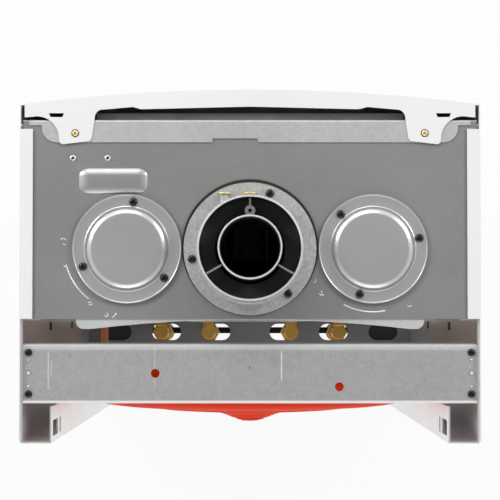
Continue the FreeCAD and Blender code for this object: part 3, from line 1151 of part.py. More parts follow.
keep("return_block", cut("return_block", block("return_block", 1), rod(
    "return_block_port", "x", "feed_pipe_radius - pipe_wall", ("block_axis", "block_outer + pipe_wall"),
    ("-diverter_depth", "flow_port_height"))))
valve_at = ("-block_axis", "-diverter_depth")
keep("flow_block", cut("flow_block", block("flow_block", -1),
                       rod("valve_chamber", "z", "valve_bore", ("valve_low", "valve_high"), valve_at),
                       rod("valve_guide", "z", "plunger_radius + running_gap",
                           ("valve_low", "block_top + pipe_wall"), valve_at)))
actuator = slab("actuator_block", ("-block_axis - diverter_half", "-block_axis + diverter_half"),
                ("-diverter_depth - diverter_half", "-diverter_depth + diverter_half"),
                ("block_top", "block_top + diverter_height"))
keep("diverter_actuator", cut("diverter_actuator", actuator, rod(
    "actuator_bore", "z", "diverter_bore", ("block_top - pipe_wall", "block_top + diverter_bore_height"),
    valve_at)))
keep("diverter_plunger", fuse(
    "diverter_plunger",
    rod("plunger_stem", "z", "plunger_radius", ("plunger_low", "plunger_high"), valve_at),
    rod("plunger_seat", "z", "plunger_disc", ("plunger_low", "plunger_low + plunger_disc_height"),
        valve_at)))
keep("plate_exchanger", slab("plate_exchanger", ("-block_inner", "block_inner"),
                             ("-plate_front", "-block_rear"), ("plate_low", "plate_high")))
for label, side in (("safety_knob", 1), ("filling_knob", -1)):
    knob_front = "(-block_front - tap_length - tap_knob_gap - tap_knob_length)"
    at = (offset(side, "block_axis"), "tap_height")
    core = turned(f"{label}_core", [
        ("0", "0"),
        ("tap_knob_radius - tap_knob_lobe / 2", "0"),
        ("tap_knob_radius - tap_knob_lobe / 2", "tap_knob_length"),
        ("tap_stem + running_gap", "tap_knob_length"),
        ("tap_stem + running_gap", "tap_knob_wall"),
        ("0", "tap_knob_wall"),
    ], "y", knob_front, at)
    grips = radial(f"{label}_grip", ("tap_knob_radius / 2", "tap_knob_radius"), "tap_knob_lobe",
                   ("0", "tap_knob_length"), GRIP_COUNT, "y", knob_front, at)
    keep(label, fuse(label, core, *grips))

pump_x = "block_axis"
pump_z = "(block_top + pump_neck + pump_radius)"
pump_rear = "(-block_front + pump_depth)"
volute = fuse(
    "volute_casting",
    rod("volute_drum", "y", "pump_radius", ("-block_front", pump_rear), (pump_x, pump_z)),
    slab("volute_neck", ("block_axis - pump_neck_half", "block_axis + pump_neck_half"),
         ("-block_front", pump_rear), ("block_top", pump_z)),
    rod("volute_outlet", "x", "pump_outlet_radius", (pump_x, "block_axis + pump_outlet_reach"),
        ("-pipe_rear", pump_z)))
keep("pump_volute", cut(
    "pump_volute", volute,
    rod("volute_cavity", "y", "pump_radius - pump_wall",
        ("-block_front + pump_wall", f"{pump_rear} - pump_wall"), (pump_x, pump_z)),
    rod("volute_shaft_hole", "y", "pump_shaft_radius + shaft_hole_play",
        ("-block_front - pump_wall", "-block_front + 2 * pump_wall"), (pump_x, pump_z))))
keep("pump_motor", fuse(
    "pump_motor",
    rod("pump_can", "y", "pump_motor_radius", ("-block_front - pump_motor_length", "-block_front"),
        (pump_x, pump_z)),
    rod("pump_shaft", "y", "pump_shaft_radius", ("-block_front", "-block_front + pump_shaft_reach"),
        (pump_x, pump_z))))
impeller_low = "(-block_front + pump_wall + impeller_gap)"
impeller_core = turned("impeller_core", [
    ("pump_shaft_radius + running_gap", "0"),
    ("impeller_radius", "0"),
    ("impeller_radius", "impeller_disc"),
    ("impeller_hub", "impeller_disc"),
    ("impeller_hub", "impeller_depth"),
    ("pump_shaft_radius + running_gap", "impeller_depth"),
], "y", impeller_low, (pump_x, pump_z))
vanes = radial("impeller_vane", ("impeller_hub - impeller_vane", "impeller_radius"), "impeller_vane",
               ("impeller_disc / 2", "impeller_depth"), VANE_COUNT, "y", impeller_low, (pump_x, pump_z))
keep("pump_impeller", fuse("pump_impeller", impeller_core, *vanes))

pipe_top_end = "stack_half"
flow = bent("flow_pipe", [("-block_outer", "-pipe_rear", "flow_port_height"),
                          ("-pipe_spread", "-pipe_rear", "flow_port_height"),
                          ("-pipe_spread", "-pipe_rear", "pipe_turn_height"),
                          ("-pipe_spread", "-pipe_front", "pipe_turn_height"),
                          ("-pipe_spread", "-pipe_front", "pipe_top_height"),
                          ("-stack_half", "-pipe_front", "pipe_top_height")],
            "pipe_radius", "pipe_bend", "pipe_wall")
back = bent("return_pipe", [("block_axis + pump_outlet_reach", "-pipe_rear", pump_z),
                            ("pipe_spread", "-pipe_rear", pump_z),
                            ("pipe_spread", "-pipe_rear", "pipe_turn_height"),
                            ("pipe_spread", "-pipe_front", "pipe_turn_height"),
                            ("pipe_spread", "-pipe_front", "pipe_top_height"),
                            ("stack_half", "-pipe_front", "pipe_top_height")],
            "pipe_radius", "pipe_bend", "pipe_wall")
feed = bent("feed_pipe", [("nipple_offset", "-vessel_middle", nipple_low),
                          ("nipple_offset", "-vessel_middle", "flow_port_height"),
                          ("pipe_spread", "-vessel_middle", "flow_port_height"),
                          ("pipe_spread", "-pipe_rear", "flow_port_height"),
                          ("block_outer", "-pipe_rear", "flow_port_height")], "feed_pipe_radius",
                          "pipe_bend", "pipe_wall")
keep("water_pipes", group("water_pipes", flow, back, feed))

connectors = []
for label, across, thread, top in (
    ("flow", "-block_axis", "thread_radius", "block_elbow_height"),
    ("return", "block_axis", "thread_radius", "block_elbow_height"),
    ("gas", "0", "thread_radius", bracket_under),
    ("hot", "-water_offset", "small_thread_radius", "elbow_height"),
    ("cold", "water_offset", "small_thread_radius", "elbow_height"),
):
    at = (across, "-bracket_slot_depth")
    solids = [
        rod(f"{label}_thread", "z", thread, ("-connector_end", "-connector_end + thread_length"), at),
        rod(f"{label}_relief", "z", "relief_radius", ("-connector_end", "hex_low"), at),
        hexagon(f"{label}_hex", "hex_radius", ("hex_low", bracket_under), at),
        rod(f"{label}_neck", "z", "connector_neck", ("hex_low", top), at),
    ]
    branch = ("-block_rear", f"{top} - connector_neck")
    if label == "gas":
        branch = ("-bracket_slot_depth - gas_stub", "gas_pipe_height")
    solids.append(rod(f"{label}_elbow", "y", "connector_neck - pipe_wall",
                      (branch[0], "-bracket_slot_depth"), (across, branch[1])))
    connectors.append(fuse(f"{label}_connector", *solids))
keep("pipe_connectors", group("pipe_connectors", *connectors))

# Controls: box, fascia, board, window, knobs, buttons and pressure gauge.
fascia_front = "(box_front + fascia)"
box_block = slab("box_block", (f"-{inner}", inner), ("-box_front", "-box_rear"), ("box_low", "box_high"))
box_hollow = slab("box_hollow", (f"-{inner} + box_wall", f"{inner} - box_wall"),
                  ("-casing_depth", "-box_rear - box_wall"),
                  ("box_low + box_wall", "box_high - box_wall"))
posts, lugs, lug_holes = [], [], []
for side, label in ((1, "right"), (-1, "left")):
    for spot in ("board_low + board_post_inset", "board_high - board_post_inset"):
        posts.append(rod(f"post_{label}_{spot[6:9]}", "y", "board_post",
                         ("-board_forward", "-box_rear - box_wall / 2"),
                         (offset(side, "board_half - board_post_inset"), spot)))
    lugs.append(slab(f"lug_{label}", sides(side, "lug_inner", "lug_outer"),
                     ("-flap_axis_depth", "-lug_rear"),
                     ("flap_axis_height - lug_eye / 2", "box_low")))
    lugs.append(rod(f"lug_eye_{label}", "x", "lug_eye", sides(side, "lug_inner", "lug_outer"),
                    ("-flap_axis_depth", "flap_axis_height")))
    lug_holes.append(rod(f"lug_hole_{label}", "x", "flap_pin + running_gap",
                         sides(side, "lug_inner - flap_pin", "lug_outer + flap_pin"),
                         ("-flap_axis_depth", "flap_axis_height")))
keep("control_box", cut("control_box",
                        fuse("box_moulding", cut("box_shell", box_block, box_hollow), *posts, *lugs),
                        *lug_holes))

knobs = {"heating_knob": ("-knob_offset", "knob_height"), "hot_water_knob": ("knob_offset", "knob_height")}
buttons = {"mode_button": ("-button_pitch", "button_height"), "reset_button": ("0", "button_height"),
           "power_button": ("button_pitch", "button_height")}
gauge_at = ("gauge_offset", "gauge_height")
fascia_bore = (f"-{fascia_front} - fascia", "-box_front + fascia")
fascia_cuts = [slab("display_cut", ("-display_half", "display_half"), fascia_bore,
                    ("display_low", "display_high")),
               rod("gauge_cut", "y", "gauge_radius + screw_play", fascia_bore, gauge_at)]
fascia_cuts += [rod(f"{node}_cut", "y", "knob_stem + running_gap", fascia_bore, at) for node,
                at in knobs.items()]
fascia_cuts += [rod(f"{node}_cut", "y", "button_radius + running_gap", fascia_bore, at) for node,
                at in buttons.items()]
keep("control_fascia", cut("control_fascia",
                           slab("fascia_sheet", (f"-{inner}", inner), (f"-{fascia_front}", "-box_front"),
                                ("box_low", "box_high")), *fascia_cuts))
keep("display_window", slab("display_window", ("-display_half", "display_half"),
                            (f"-{fascia_front} - display_proud",
                             f"-{fascia_front} - display_proud + display_depth"),
                             ("display_low", "display_high")))

board_front = "(board_forward + board_sheet)"
mounts = []
for node, (across, up) in knobs.items():
    mounts.append(slab(f"{node}_dial", (f"{across} - dial_half", f"{across} + dial_half"),
                       (f"-{board_front} - dial_depth", f"-{board_front}"),
                       (f"{up} - dial_half", f"{up} + dial_half")))
button_end = f"({fascia_front} - fascia - button_collar_gap - button_collar_height - button_tail)"
for node, (across, up) in buttons.items():
    mounts.append(slab(f"{node}_contact", (f"{across} - contact_half", f"{across} + contact_half"),
                       (f"-{button_end} + contact_gap", f"-{board_front}"),
                       (f"{up} - contact_half", f"{up} + contact_half")))
board_sheet_piece = slab("board_sheet_piece", ("-board_half", "board_half"),
                         (f"-{board_front}", "-board_forward"), ("board_low", "board_high"))
dial_bores = [rod(f"{node}_bore", "y", "knob_stem + running_gap",
                  (f"-{board_front} - dial_depth - pipe_wall",
                   f"-{board_front} - dial_depth + dial_bore_depth"), at)
              for node, at in knobs.items()]
keep("circuit_board", cut("circuit_board", fuse("board_parts", board_sheet_piece, *mounts), *dial_bores))

for node, at in knobs.items():
    knob_back = f"(-{fascia_front} - knob_gap)"
    cap = rod(f"{node}_cap", "y", "knob_radius", (f"{knob_back} - knob_length", knob_back), at)
    stem = rod(f"{node}_stem", "y", "knob_stem", (knob_back, f"-{fascia_front} + knob_stem_reach"), at)
    mark = slab(f"{node}_mark", (f"{at[0]} - knob_mark", f"{at[0]} + knob_mark"),
                (f"{knob_back} - knob_length - knob_mark_height", knob_back),
                (f"{at[1]} + knob_radius * mark_start_share", f"{at[1]} + knob_radius * mark_end_share"))
    keep(node, fuse(node, cap, stem, mark))
for node, at in buttons.items():
    collar = "(-box_front + button_collar_gap)"
    keep(node, fuse(
        node,
        rod(f"{node}_cap", "y", "button_radius", (f"-{fascia_front} - button_proud", f"-{button_end}"), at),
        rod(f"{node}_collar", "y", "button_collar", (collar, f"{collar} + button_collar_height"), at)))

rim_front = f"(-{fascia_front} - gauge_rim_height)"
dial_face = f"({rim_front} + gauge_dial_depth)"
gauge = fuse("gauge_can", rod("gauge_tube", "y", "gauge_radius",
                              (f"-{fascia_front}", f"-{fascia_front} + gauge_back"), gauge_at),
             rod("gauge_ring", "y", "gauge_rim", (rim_front, f"-{fascia_front}"), gauge_at))
gauge_hollow = cut("gauge_hollow", gauge, rod("gauge_dial", "y", "gauge_dial_radius",
                                              (f"{rim_front} - gauge_dial_depth", dial_face), gauge_at))
keep("gauge_body", fuse("gauge_body", gauge_hollow,
                        rod("gauge_pivot", "y", "gauge_pin", (f"{dial_face} - gauge_pin_length",
                                                              f"{dial_face} + gauge_pin_length"),
                                                              gauge_at)))
needle_y = (f"{dial_face} - needle_gap - needle_height", f"{dial_face} - needle_gap")
needle = fuse("needle_blank", rod("needle_disc", "y", "needle_hub", needle_y, gauge_at),
              slab("needle_arm", ("gauge_offset - needle_width / 2", "gauge_offset + needle_width / 2"),
                   needle_y,
                   ("gauge_height", "gauge_height + needle_length")))
keep("gauge_needle", cut("gauge_needle", needle,
                         rod("needle_bore", "y", "gauge_pin + running_gap", (rim_front, "-box_front"),
                             gauge_at)))

# Flap in front of the controls, on two pins.
flap_wall = front_wall("flap_wall", "flap_wall", "flap_return", "flap_low",
                       "panel_bottom - flap_gap - flap_low")
flap_parts = [flap_wall]
for side, label in ((1, "right"), (-1, "left")):
    flap_parts.append(slab(f"flap_ear_{label}", sides(side, "flap_ear_inner", "flap_ear_outer"),
                           (f"-{bow('flap_ear_inner', 'flap_wall / 2')}", "-flap_axis_depth"),
                           ("flap_axis_height - flap_ear_half", "flap_axis_height + flap_ear_half")))
    flap_parts.append(rod(f"flap_eye_{label}", "x", "flap_ear_half",
                          sides(side, "flap_ear_inner", "flap_ear_outer"),
                          ("-flap_axis_depth", "flap_axis_height")))
    flap_parts.append(rod(f"flap_pin_{label}", "x", "flap_pin",
                          sides(side, "flap_ear_inner", "flap_pin_end"),
                          ("-flap_axis_depth", "flap_axis_height")))
keep("control_flap", fuse("control_flap", *flap_parts))

doc.recompute()
for thing in doc.Objects:
    if "Invalid" in thing.State or "Error" in thing.State:
        raise RuntimeError(f"{thing.Name} did not compute: {thing.State}")
for node, thing in pieces.items():
    if thing.Shape.isNull() or not thing.Shape.isValid():
        raise RuntimeError(f"{node} has no valid shape")
os.makedirs("parts", exist_ok=True)
for node, thing in pieces.items():
    thing.Shape.exportStep(f"parts/{node}.step")
print(len(pieces), "pieces")
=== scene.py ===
import json
import math

import bpy
from mathutils import Matrix, Vector

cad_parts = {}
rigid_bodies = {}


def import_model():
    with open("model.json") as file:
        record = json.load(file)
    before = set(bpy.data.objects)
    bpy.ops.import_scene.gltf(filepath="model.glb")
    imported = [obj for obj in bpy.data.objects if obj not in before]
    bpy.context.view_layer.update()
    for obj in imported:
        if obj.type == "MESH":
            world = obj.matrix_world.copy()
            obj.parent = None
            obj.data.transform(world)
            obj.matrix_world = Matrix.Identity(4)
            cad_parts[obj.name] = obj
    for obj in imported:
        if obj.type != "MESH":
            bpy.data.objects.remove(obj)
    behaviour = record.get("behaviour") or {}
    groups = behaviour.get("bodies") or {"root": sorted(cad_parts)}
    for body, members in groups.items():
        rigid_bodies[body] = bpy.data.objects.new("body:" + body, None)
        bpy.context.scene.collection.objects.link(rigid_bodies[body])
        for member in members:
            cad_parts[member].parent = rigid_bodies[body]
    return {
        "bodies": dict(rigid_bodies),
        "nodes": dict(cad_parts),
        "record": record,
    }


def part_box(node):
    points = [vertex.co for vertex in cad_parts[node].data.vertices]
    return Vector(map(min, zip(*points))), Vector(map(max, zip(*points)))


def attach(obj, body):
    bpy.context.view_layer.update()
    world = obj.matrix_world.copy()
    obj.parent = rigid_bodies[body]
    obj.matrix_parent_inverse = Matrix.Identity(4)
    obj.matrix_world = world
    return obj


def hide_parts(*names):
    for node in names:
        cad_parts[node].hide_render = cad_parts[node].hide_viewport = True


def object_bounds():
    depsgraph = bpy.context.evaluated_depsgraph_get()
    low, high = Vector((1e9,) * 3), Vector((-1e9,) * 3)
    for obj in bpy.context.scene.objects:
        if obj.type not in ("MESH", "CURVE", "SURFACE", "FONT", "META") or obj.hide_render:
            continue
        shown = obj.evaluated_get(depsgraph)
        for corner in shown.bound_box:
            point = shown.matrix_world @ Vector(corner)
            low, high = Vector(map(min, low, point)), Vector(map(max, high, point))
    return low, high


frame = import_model()
cad_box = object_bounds()
nodes = frame["nodes"]
slots = {row["node"]: row["material_slot"] for row in frame["record"]["subparts"]}

# Places in metres: across and along the wall's normal for the flue's axis, heights and faces for the others.
FLUE = (0, -0.1854)
PLATE = 0.7976
CASING_TOP = 0.8
INTAKE_SIDE = 0.1175
VESSEL_MIDDLE = -0.052
FASCIA = -0.3145
KNOB_HEIGHT = 0.096
GAUGE = (0.148, 0.088)
GAUGE_FACE = -0.3155


def tone(red, green, blue):
    """A screen colour, 0 to 255, as the light it stands for."""
    shares = (red / 255, green / 255, blue / 255)
    return [((part + 0.055) / 1.055) ** 2.4 if part > 0.04 else part / 12.92 for part in shares] + [1]


class Shade:
    """A socket of a finish. Sums on it are plain expressions."""

    def __init__(self, finish, socket):
        self.finish = finish
        self.socket = socket

    def sum(self, operation, one, other):
        return self.finish.node("ShaderNodeMath", {"operation": operation}, {0: one, 1: other})

    def __add__(self, other):
        return self.sum("ADD", self, other)

    def __radd__(self, other):
        return self.sum("ADD", other, self)

    def __sub__(self, other):
        return self.sum("SUBTRACT", self, other)

    def __rsub__(self, other):
        return self.sum("SUBTRACT", other, self)

    def __mul__(self, other):
        return self.sum("MULTIPLY", self, other)

    def __rmul__(self, other):
        return self.sum("MULTIPLY", other, self)

    def __pow__(self, other):
        return self.sum("POWER", self, other)


class Finish:
    """One surface finish and the nodes that draw it."""

    def __init__(self, name, owner=None):
        self.material = owner or bpy.data.materials.new(name)
        self.material.use_nodes = True
        self.tree = self.material.node_tree
        self.shader = self.tree.nodes.get("Principled BSDF")

    def node(self, kind, settings=None, sockets=None, output=0):
        made = self.tree.nodes.new(kind)
        for name, value in (settings or {}).items():
            setattr(made, name, value)
        for name, value in (sockets or {}).items():
            self.feed(made.inputs[name], value)
        return Shade(self, made.outputs[output])

    def feed(self, socket, value):
        if isinstance(value, Shade):
            self.tree.links.new(value.socket, socket)
        else:
            socket.default_value = value

    def place(self, stretch=(1, 1, 1), turn=(0, 0, 0)):
        spot = self.node("ShaderNodeTexCoord", output=3)
        return self.node("ShaderNodeMapping", None, {"Vector": spot, "Scale": stretch, "Rotation": turn})

    def axes(self):
        spot = self.node("ShaderNodeTexCoord", output=3)
        return [self.node("ShaderNodeSeparateXYZ", None, {"Vector": spot}, number) for number in range(3)]

    def grain(self, scale, detail=2, rough=0.5, stretch=(1, 1, 1), turn=(0, 0, 0)):
        return self.node("ShaderNodeTexNoise", None, {
            "Vector": self.place(stretch, turn), "Scale": scale, "Detail": detail, "Roughness": rough})

    def cells(self, scale, feature="F1"):
        return self.node("ShaderNodeTexVoronoi", {"feature": feature}, {"Vector": self.place(), "Scale": scale})

    def ray(self, *kinds):
        """Whether a ray is one of these kinds."""
        found = [self.node("ShaderNodeLightPath", output=f"Is {kind} Ray") for kind in kinds]
        seen = found[0]
        for other in found[1:]:
            seen = seen.sum("MAXIMUM", seen, other)
        return seen

    def between(self, value, low, high, start=0, end=1):
        return self.node("ShaderNodeMapRange", {"interpolation_type": "SMOOTHSTEP"}, {
            "Value": value, "From Min": low, "From Max": high, "To Min": start, "To Max": end})

    def blend(self, share, first, second):
        return self.node("ShaderNodeMix", {"data_type": "RGBA"}, {0: share, 6: first, 7: second}, 2)

    def bumps(self, height, strength, depth, under=None):
        sockets = {"Height": height, "Strength": strength, "Distance": depth}
        if under:
            sockets["Normal"] = under
        return self.node("ShaderNodeBump", None, sockets)

    def wear(self, value):
        """Thin scattered scuff lines."""
        line = self.grain(60, 1, 0.3, (1, 0.1, 1), (0, 0, 0.35)) - 0.5
        patches = self.between(self.grain(23, 3), 0.6, 0.72)
        return (1 - self.between(line * line, 0.000004, 0.00006)) * patches * value

    def done(self, **sockets):
        for name, value in sockets.items():
            self.feed(self.shader.inputs[name.replace("_", " ")], value)
        return self.material


def enamel(name, pale, deep, rough, peel=620, depth=0.00005, coat=0.22, gloss=0.5):
    paint = Finish(name)
    cloud = paint.grain(6, 3)
    fine = paint.grain(peel, 2)
    scuffs = paint.wear(0.5)
    colour = paint.blend(paint.between(cloud, 0.3, 0.75), pale, deep)
    return paint.done(
        Base_Color=colour,
        Roughness=rough + 0.08 * paint.grain(31, 3) + 0.15 * scuffs,
        Coat_Weight=coat + 0.1 * cloud,
        Specular_IOR_Level=gloss,
        Normal=paint.bumps(fine, 0.35, depth, paint.bumps(paint.grain(45, 2), 0.12, 0.0002)))


def sheet_zinc(name, pale, deep, metal, rough, spangle=95, streak=(1, 1, 1), mottle=0.35, uneven=1,
               scores=(), painted_fold_light=()):
    """Galvanised sheet, with score lines across it where these are given, and painted highlights and painted shade in
    bands along its bends where these are given.
    """
    zinc = Finish(name)
    flake = zinc.between(zinc.cells(spangle, "SMOOTH_F1"), 0.1, 0.75)
    brush = zinc.grain(900, 3, 0.6, streak)
    cloud = zinc.grain(11, 4, 0.6)
    fine = zinc.grain(330, 4, 0.7)
    share = 0.2 * flake + 0.25 * zinc.between(cloud, 0.25, 0.75) + 0.2 * brush
    share = share + mottle * zinc.between(fine, 0.3, 0.7)
    scuffs = zinc.wear(1)
    colour = zinc.blend(share, pale, deep)
    if scores:
        x, y = zinc.axes()[:2]
        for middle, half, front, rear, strength, shade in scores:
            away = x - middle + 0.0004 * (cloud - 0.5)
            line = 1 - zinc.between((away * away) ** 0.5, half, 2.2 * half)
            line = line * zinc.between(y, front, front + 0.003) * (1 - zinc.between(y, rear - 0.003, rear))
            broken = strength * line * zinc.between(fine, 0.2, 0.5)
            colour = zinc.blend(broken, colour, tone(shade, shade, shade))
        # Painted highlight and painted shade: bands along the bends blend toward a light or a dark grey.
        for start, end, strength, shade in painted_fold_light:
            colour = zinc.blend(strength * zinc.between(y, start, end), colour, tone(shade, shade, shade))
    return zinc.done(
        Base_Color=colour,
        Metallic=metal - 0.12 * zinc.between(cloud, 0.5, 0.8),
        Roughness=rough + uneven * (0.1 * flake + 0.08 * brush - 0.1 * scuffs),
        Normal=zinc.bumps(brush + 0.3 * flake, 0.14 * uneven, 0.00006))


def satin(name, pale, deep, metal, rough, grain=2600):
    sheet = Finish(name)
    fine = sheet.grain(grain, 3, 0.65, (0.35, 1, 1))
    soft = sheet.grain(140, 3, 0.55)
    cloud = sheet.grain(8, 4, 0.55)
    specks = sheet.between(sheet.grain(700, 2), 0.66, 0.74)
    share = 0.45 * fine + 0.25 * soft + 0.3 * sheet.between(cloud, 0.3, 0.7)
    scuffs = sheet.wear(0.1)
    colour = sheet.blend(share, pale, deep)
    colour = sheet.blend(0.25 * specks + 0.3 * scuffs, colour, [1.35 * part for part in pale[:3]] + [1])
    return sheet.done(
        Base_Color=colour,
        Metallic=metal,
        Roughness=rough + 0.12 * fine + 0.08 * soft - 0.06 * scuffs,
        Normal=sheet.bumps(fine, 0.22, 0.00005, sheet.bumps(soft, 0.1, 0.0001)))


def casting(name, pale, deep, metal, rough, bore=None, rim_height=None, shoulder=None):
    """Sand-cast metal. Round the flue's axis it is painted dark as painted shade in the bore below the rim and
    outside below the shoulder, with a painted highlight at the rim and, with a shoulder, painted light on the spokes.
    """
    metal_skin = Finish(name)
    sand = metal_skin.between(metal_skin.grain(760, 4, 0.7), 0.3, 0.7)
    lumps = metal_skin.between(metal_skin.grain(210, 3, 0.6), 0.3, 0.7)
    pits = metal_skin.between(metal_skin.cells(820), 0.02, 0.22)
    cloud = metal_skin.grain(19, 3)
    colour = metal_skin.blend(0.5 * sand + 0.3 * lumps + 0.2 * cloud, pale, deep)
    colour = metal_skin.blend(0.3 * (1 - pits), colour, [0.45 * part for part in deep[:3]] + [1])
    roughness = rough + 0.15 * sand + 0.05 * lumps
    shine = metal + 0.02 * (sand - 0.5)
    if bore:
        tube_bore, tube_wall, arm_start, arm_end = 0.0283, 0.0295, 0.0312, 0.0476
        probe_reach, probe_radius, probe_top = 0.036, 0.0019, 0.8126
        x, y, z = metal_skin.axes()
        y = y - FLUE[1]
        reach = (x * x + y * y) ** 0.5
        # Painted shade: near black in the bore below the rim, standing for the shade inside the flue.
        painted_shade = (1 - metal_skin.between(reach, bore, bore + 0.0003)) * (
            1 - metal_skin.between(z, rim_height - 0.0012, rim_height - 0.0002))
        if shoulder:
            painted_shade = painted_shade.sum("MAXIMUM", painted_shade, 1 - metal_skin.between(reach, tube_bore, tube_bore + 0.0004))
            # Painted light: the spokes across the annulus are painted near white and not metallic, standing for light
            # they lack down in the annulus.
            painted_light_spokes = metal_skin.between(reach, arm_start, arm_start + 0.0004) * (
                1 - metal_skin.between(reach, arm_end, arm_end + 0.0004))
            colour = metal_skin.blend(0.85 * painted_light_spokes, colour, tone(255, 255, 254))
            shine = metal - metal * painted_light_spokes
            # Painted shade: the spigot's outer wall below the shoulder is darkened too.
            outer = metal_skin.between(reach, tube_wall, tube_wall + 0.0003) * (
                1 - metal_skin.between(reach, arm_start - 0.0003, arm_start))
            painted_shade = painted_shade + outer * (1 - metal_skin.between(z, shoulder - 0.003, shoulder)) * (1 - painted_shade)
        probe = y + probe_reach
        # Painted shade: the probe's hole is darkened below its top.
        hole = 1 - metal_skin.between((x * x + probe * probe) ** 0.5, probe_radius, probe_radius + 0.0002)
        painted_shade = painted_shade.sum("MAXIMUM", painted_shade, hole * (1 - metal_skin.between(z, probe_top, probe_top + 0.0003)))
        # Painted highlight: a near-white band just below the rim's top, made less rough.
        rim = metal_skin.between(z, rim_height - 0.0016, rim_height - 0.0008)
        colour = metal_skin.blend(0.8 * rim, colour, tone(244, 244, 243))
        roughness = roughness - 0.14 * rim
        painted_shade = painted_shade * (0.93 + 0.07 * lumps)
        # The painted shade turns the colour near black, rougher and not metallic.
        colour = metal_skin.blend(painted_shade, colour, tone(24, 24, 25))
        roughness = roughness + 0.3 * painted_shade
        shine = shine * (1 - painted_shade)
    return metal_skin.done(
        Base_Color=colour, Metallic=shine, Roughness=roughness,
        Normal=metal_skin.bumps(sand + 0.6 * lumps, 0.55, 0.00018))


def bright_metal(name, pale, deep, metal, rough, thread=None):
    """Machined metal, with a thread below the given height."""
    pitch = 0.0009
    metal_skin = Finish(name)
    patina = metal_skin.grain(34, 4, 0.6)
    lathe = metal_skin.grain(1300, 2, 0.5, (1, 1, 0.15))
    spots = metal_skin.between(metal_skin.grain(210, 3), 0.58, 0.72)
    share = 0.55 * metal_skin.between(patina, 0.3, 0.75) + 0.25 * spots + 0.1 * lathe
    colour = metal_skin.blend(share, pale, deep)
    normal = metal_skin.bumps(lathe, 0.15, 0.00005)
    if thread:
        z = metal_skin.axes()[2]
        turn = metal_skin.node("ShaderNodeMath", {"operation": "PINGPONG"}, {0: z, 1: pitch})
        ridge = turn * (1 / pitch) * (1 - metal_skin.between(z, thread - 0.0012, thread - 0.0004))
        # Painted shade: the thread's grooves are blended toward the deep tone.
        colour = metal_skin.blend(0.35 * (1 - ridge), colour, deep)
        normal = metal_skin.bumps(ridge, 0.9, pitch, normal)
    return metal_skin.done(
        Base_Color=colour, Metallic=metal, Roughness=rough + 0.16 * patina + 0.1 * spots, Normal=normal)


def moulding(name, pale, deep, rough, grain=1100):
    plastic = Finish(name)
    spark = plastic.grain(grain, 3, 0.6)
    cloud = plastic.grain(14, 3)
    dust = plastic.between(plastic.grain(5, 4, 0.6), 0.45, 0.8)
    colour = plastic.blend(0.4 * spark + 0.4 * cloud, pale, deep)
    return plastic.done(
        Base_Color=colour,
        Roughness=rough + 0.12 * spark + 0.12 * dust,
        Normal=plastic.bumps(spark, 0.3, 0.00004))


def rubber(name, pale, deep):
    soft = Finish(name)
    pores = soft.grain(1700, 3, 0.6)
    dust = soft.between(soft.grain(42, 4, 0.65), 0.45, 0.75)
    return soft.done(
        Base_Color=soft.blend(0.3 * pores + 0.5 * dust, deep, pale),
        Roughness=0.62 + 0.2 * pores,
        Normal=soft.bumps(pores, 0.35, 0.0001))


def fibre_board(name):
    board = Finish(name)
    strands = board.grain(420, 5, 0.75, (1, 0.2, 1), (0, 0, 0.6))
    other = board.grain(360, 5, 0.75, (0.2, 1, 1), (0, 0.4, 0.2))
    cloud = board.grain(22, 4)
    share = 0.4 * strands + 0.3 * other + 0.3 * cloud
    return board.done(
        Base_Color=board.blend(share, tone(240, 236, 224), tone(190, 182, 165)),
        Roughness=0.88 + 0.1 * strands,
        Normal=board.bumps(strands + other, 0.7, 0.0004))


def laminate(name):
    board = Finish(name)
    tracks = board.node("ShaderNodeTexBrick", {"offset": 0.37, "squash": 1.6, "squash_frequency": 3}, {
        "Vector": board.place((1, 1, 1), (math.pi / 2, 0, 0)), "Scale": 95.0, "Mortar Size": 0.014,
        "Color1": (0, 0, 0, 1), "Color2": (0.16, 0.16, 0.16, 1), "Mortar": (1, 1, 1, 1)})
    line = board.node("ShaderNodeSeparateColor", None, {"Color": tracks})
    pads = 1 - board.between(board.cells(210), 0.1, 0.16)
    colour = board.blend(0.6 * line, tone(18, 92, 48), tone(60, 140, 84))
    colour = board.blend(0.7 * pads, colour, tone(186, 190, 186))
    return board.done(
        Base_Color=colour, Roughness=0.32 + 0.15 * line, Normal=board.bumps(line + pads, 0.4, 0.0001))


def tinted_window(name):
    pane = Finish(name)
    smears = pane.grain(26, 4, 0.6)
    return pane.done(
        Base_Color=pane.blend(smears, tone(30, 36, 40), tone(44, 50, 54)),
        Roughness=0.06 + 0.1 * smears, Coat_Weight=0.5 + 0.2 * smears,
        Normal=pane.bumps(smears, 0.05, 0.0002))


def zinc_black(name):
    skin = Finish(name)
    worn = skin.between(skin.grain(520, 3), 0.5, 0.75)
    return skin.done(
        Base_Color=skin.blend(worn, tone(12, 12, 13), tone(30, 30, 31)),
        Specular_IOR_Level=0.3, Coat_Weight=0.2, Roughness=0.02 + 0.04 * worn,
        Normal=skin.bumps(worn, 0.03, 0.00002))


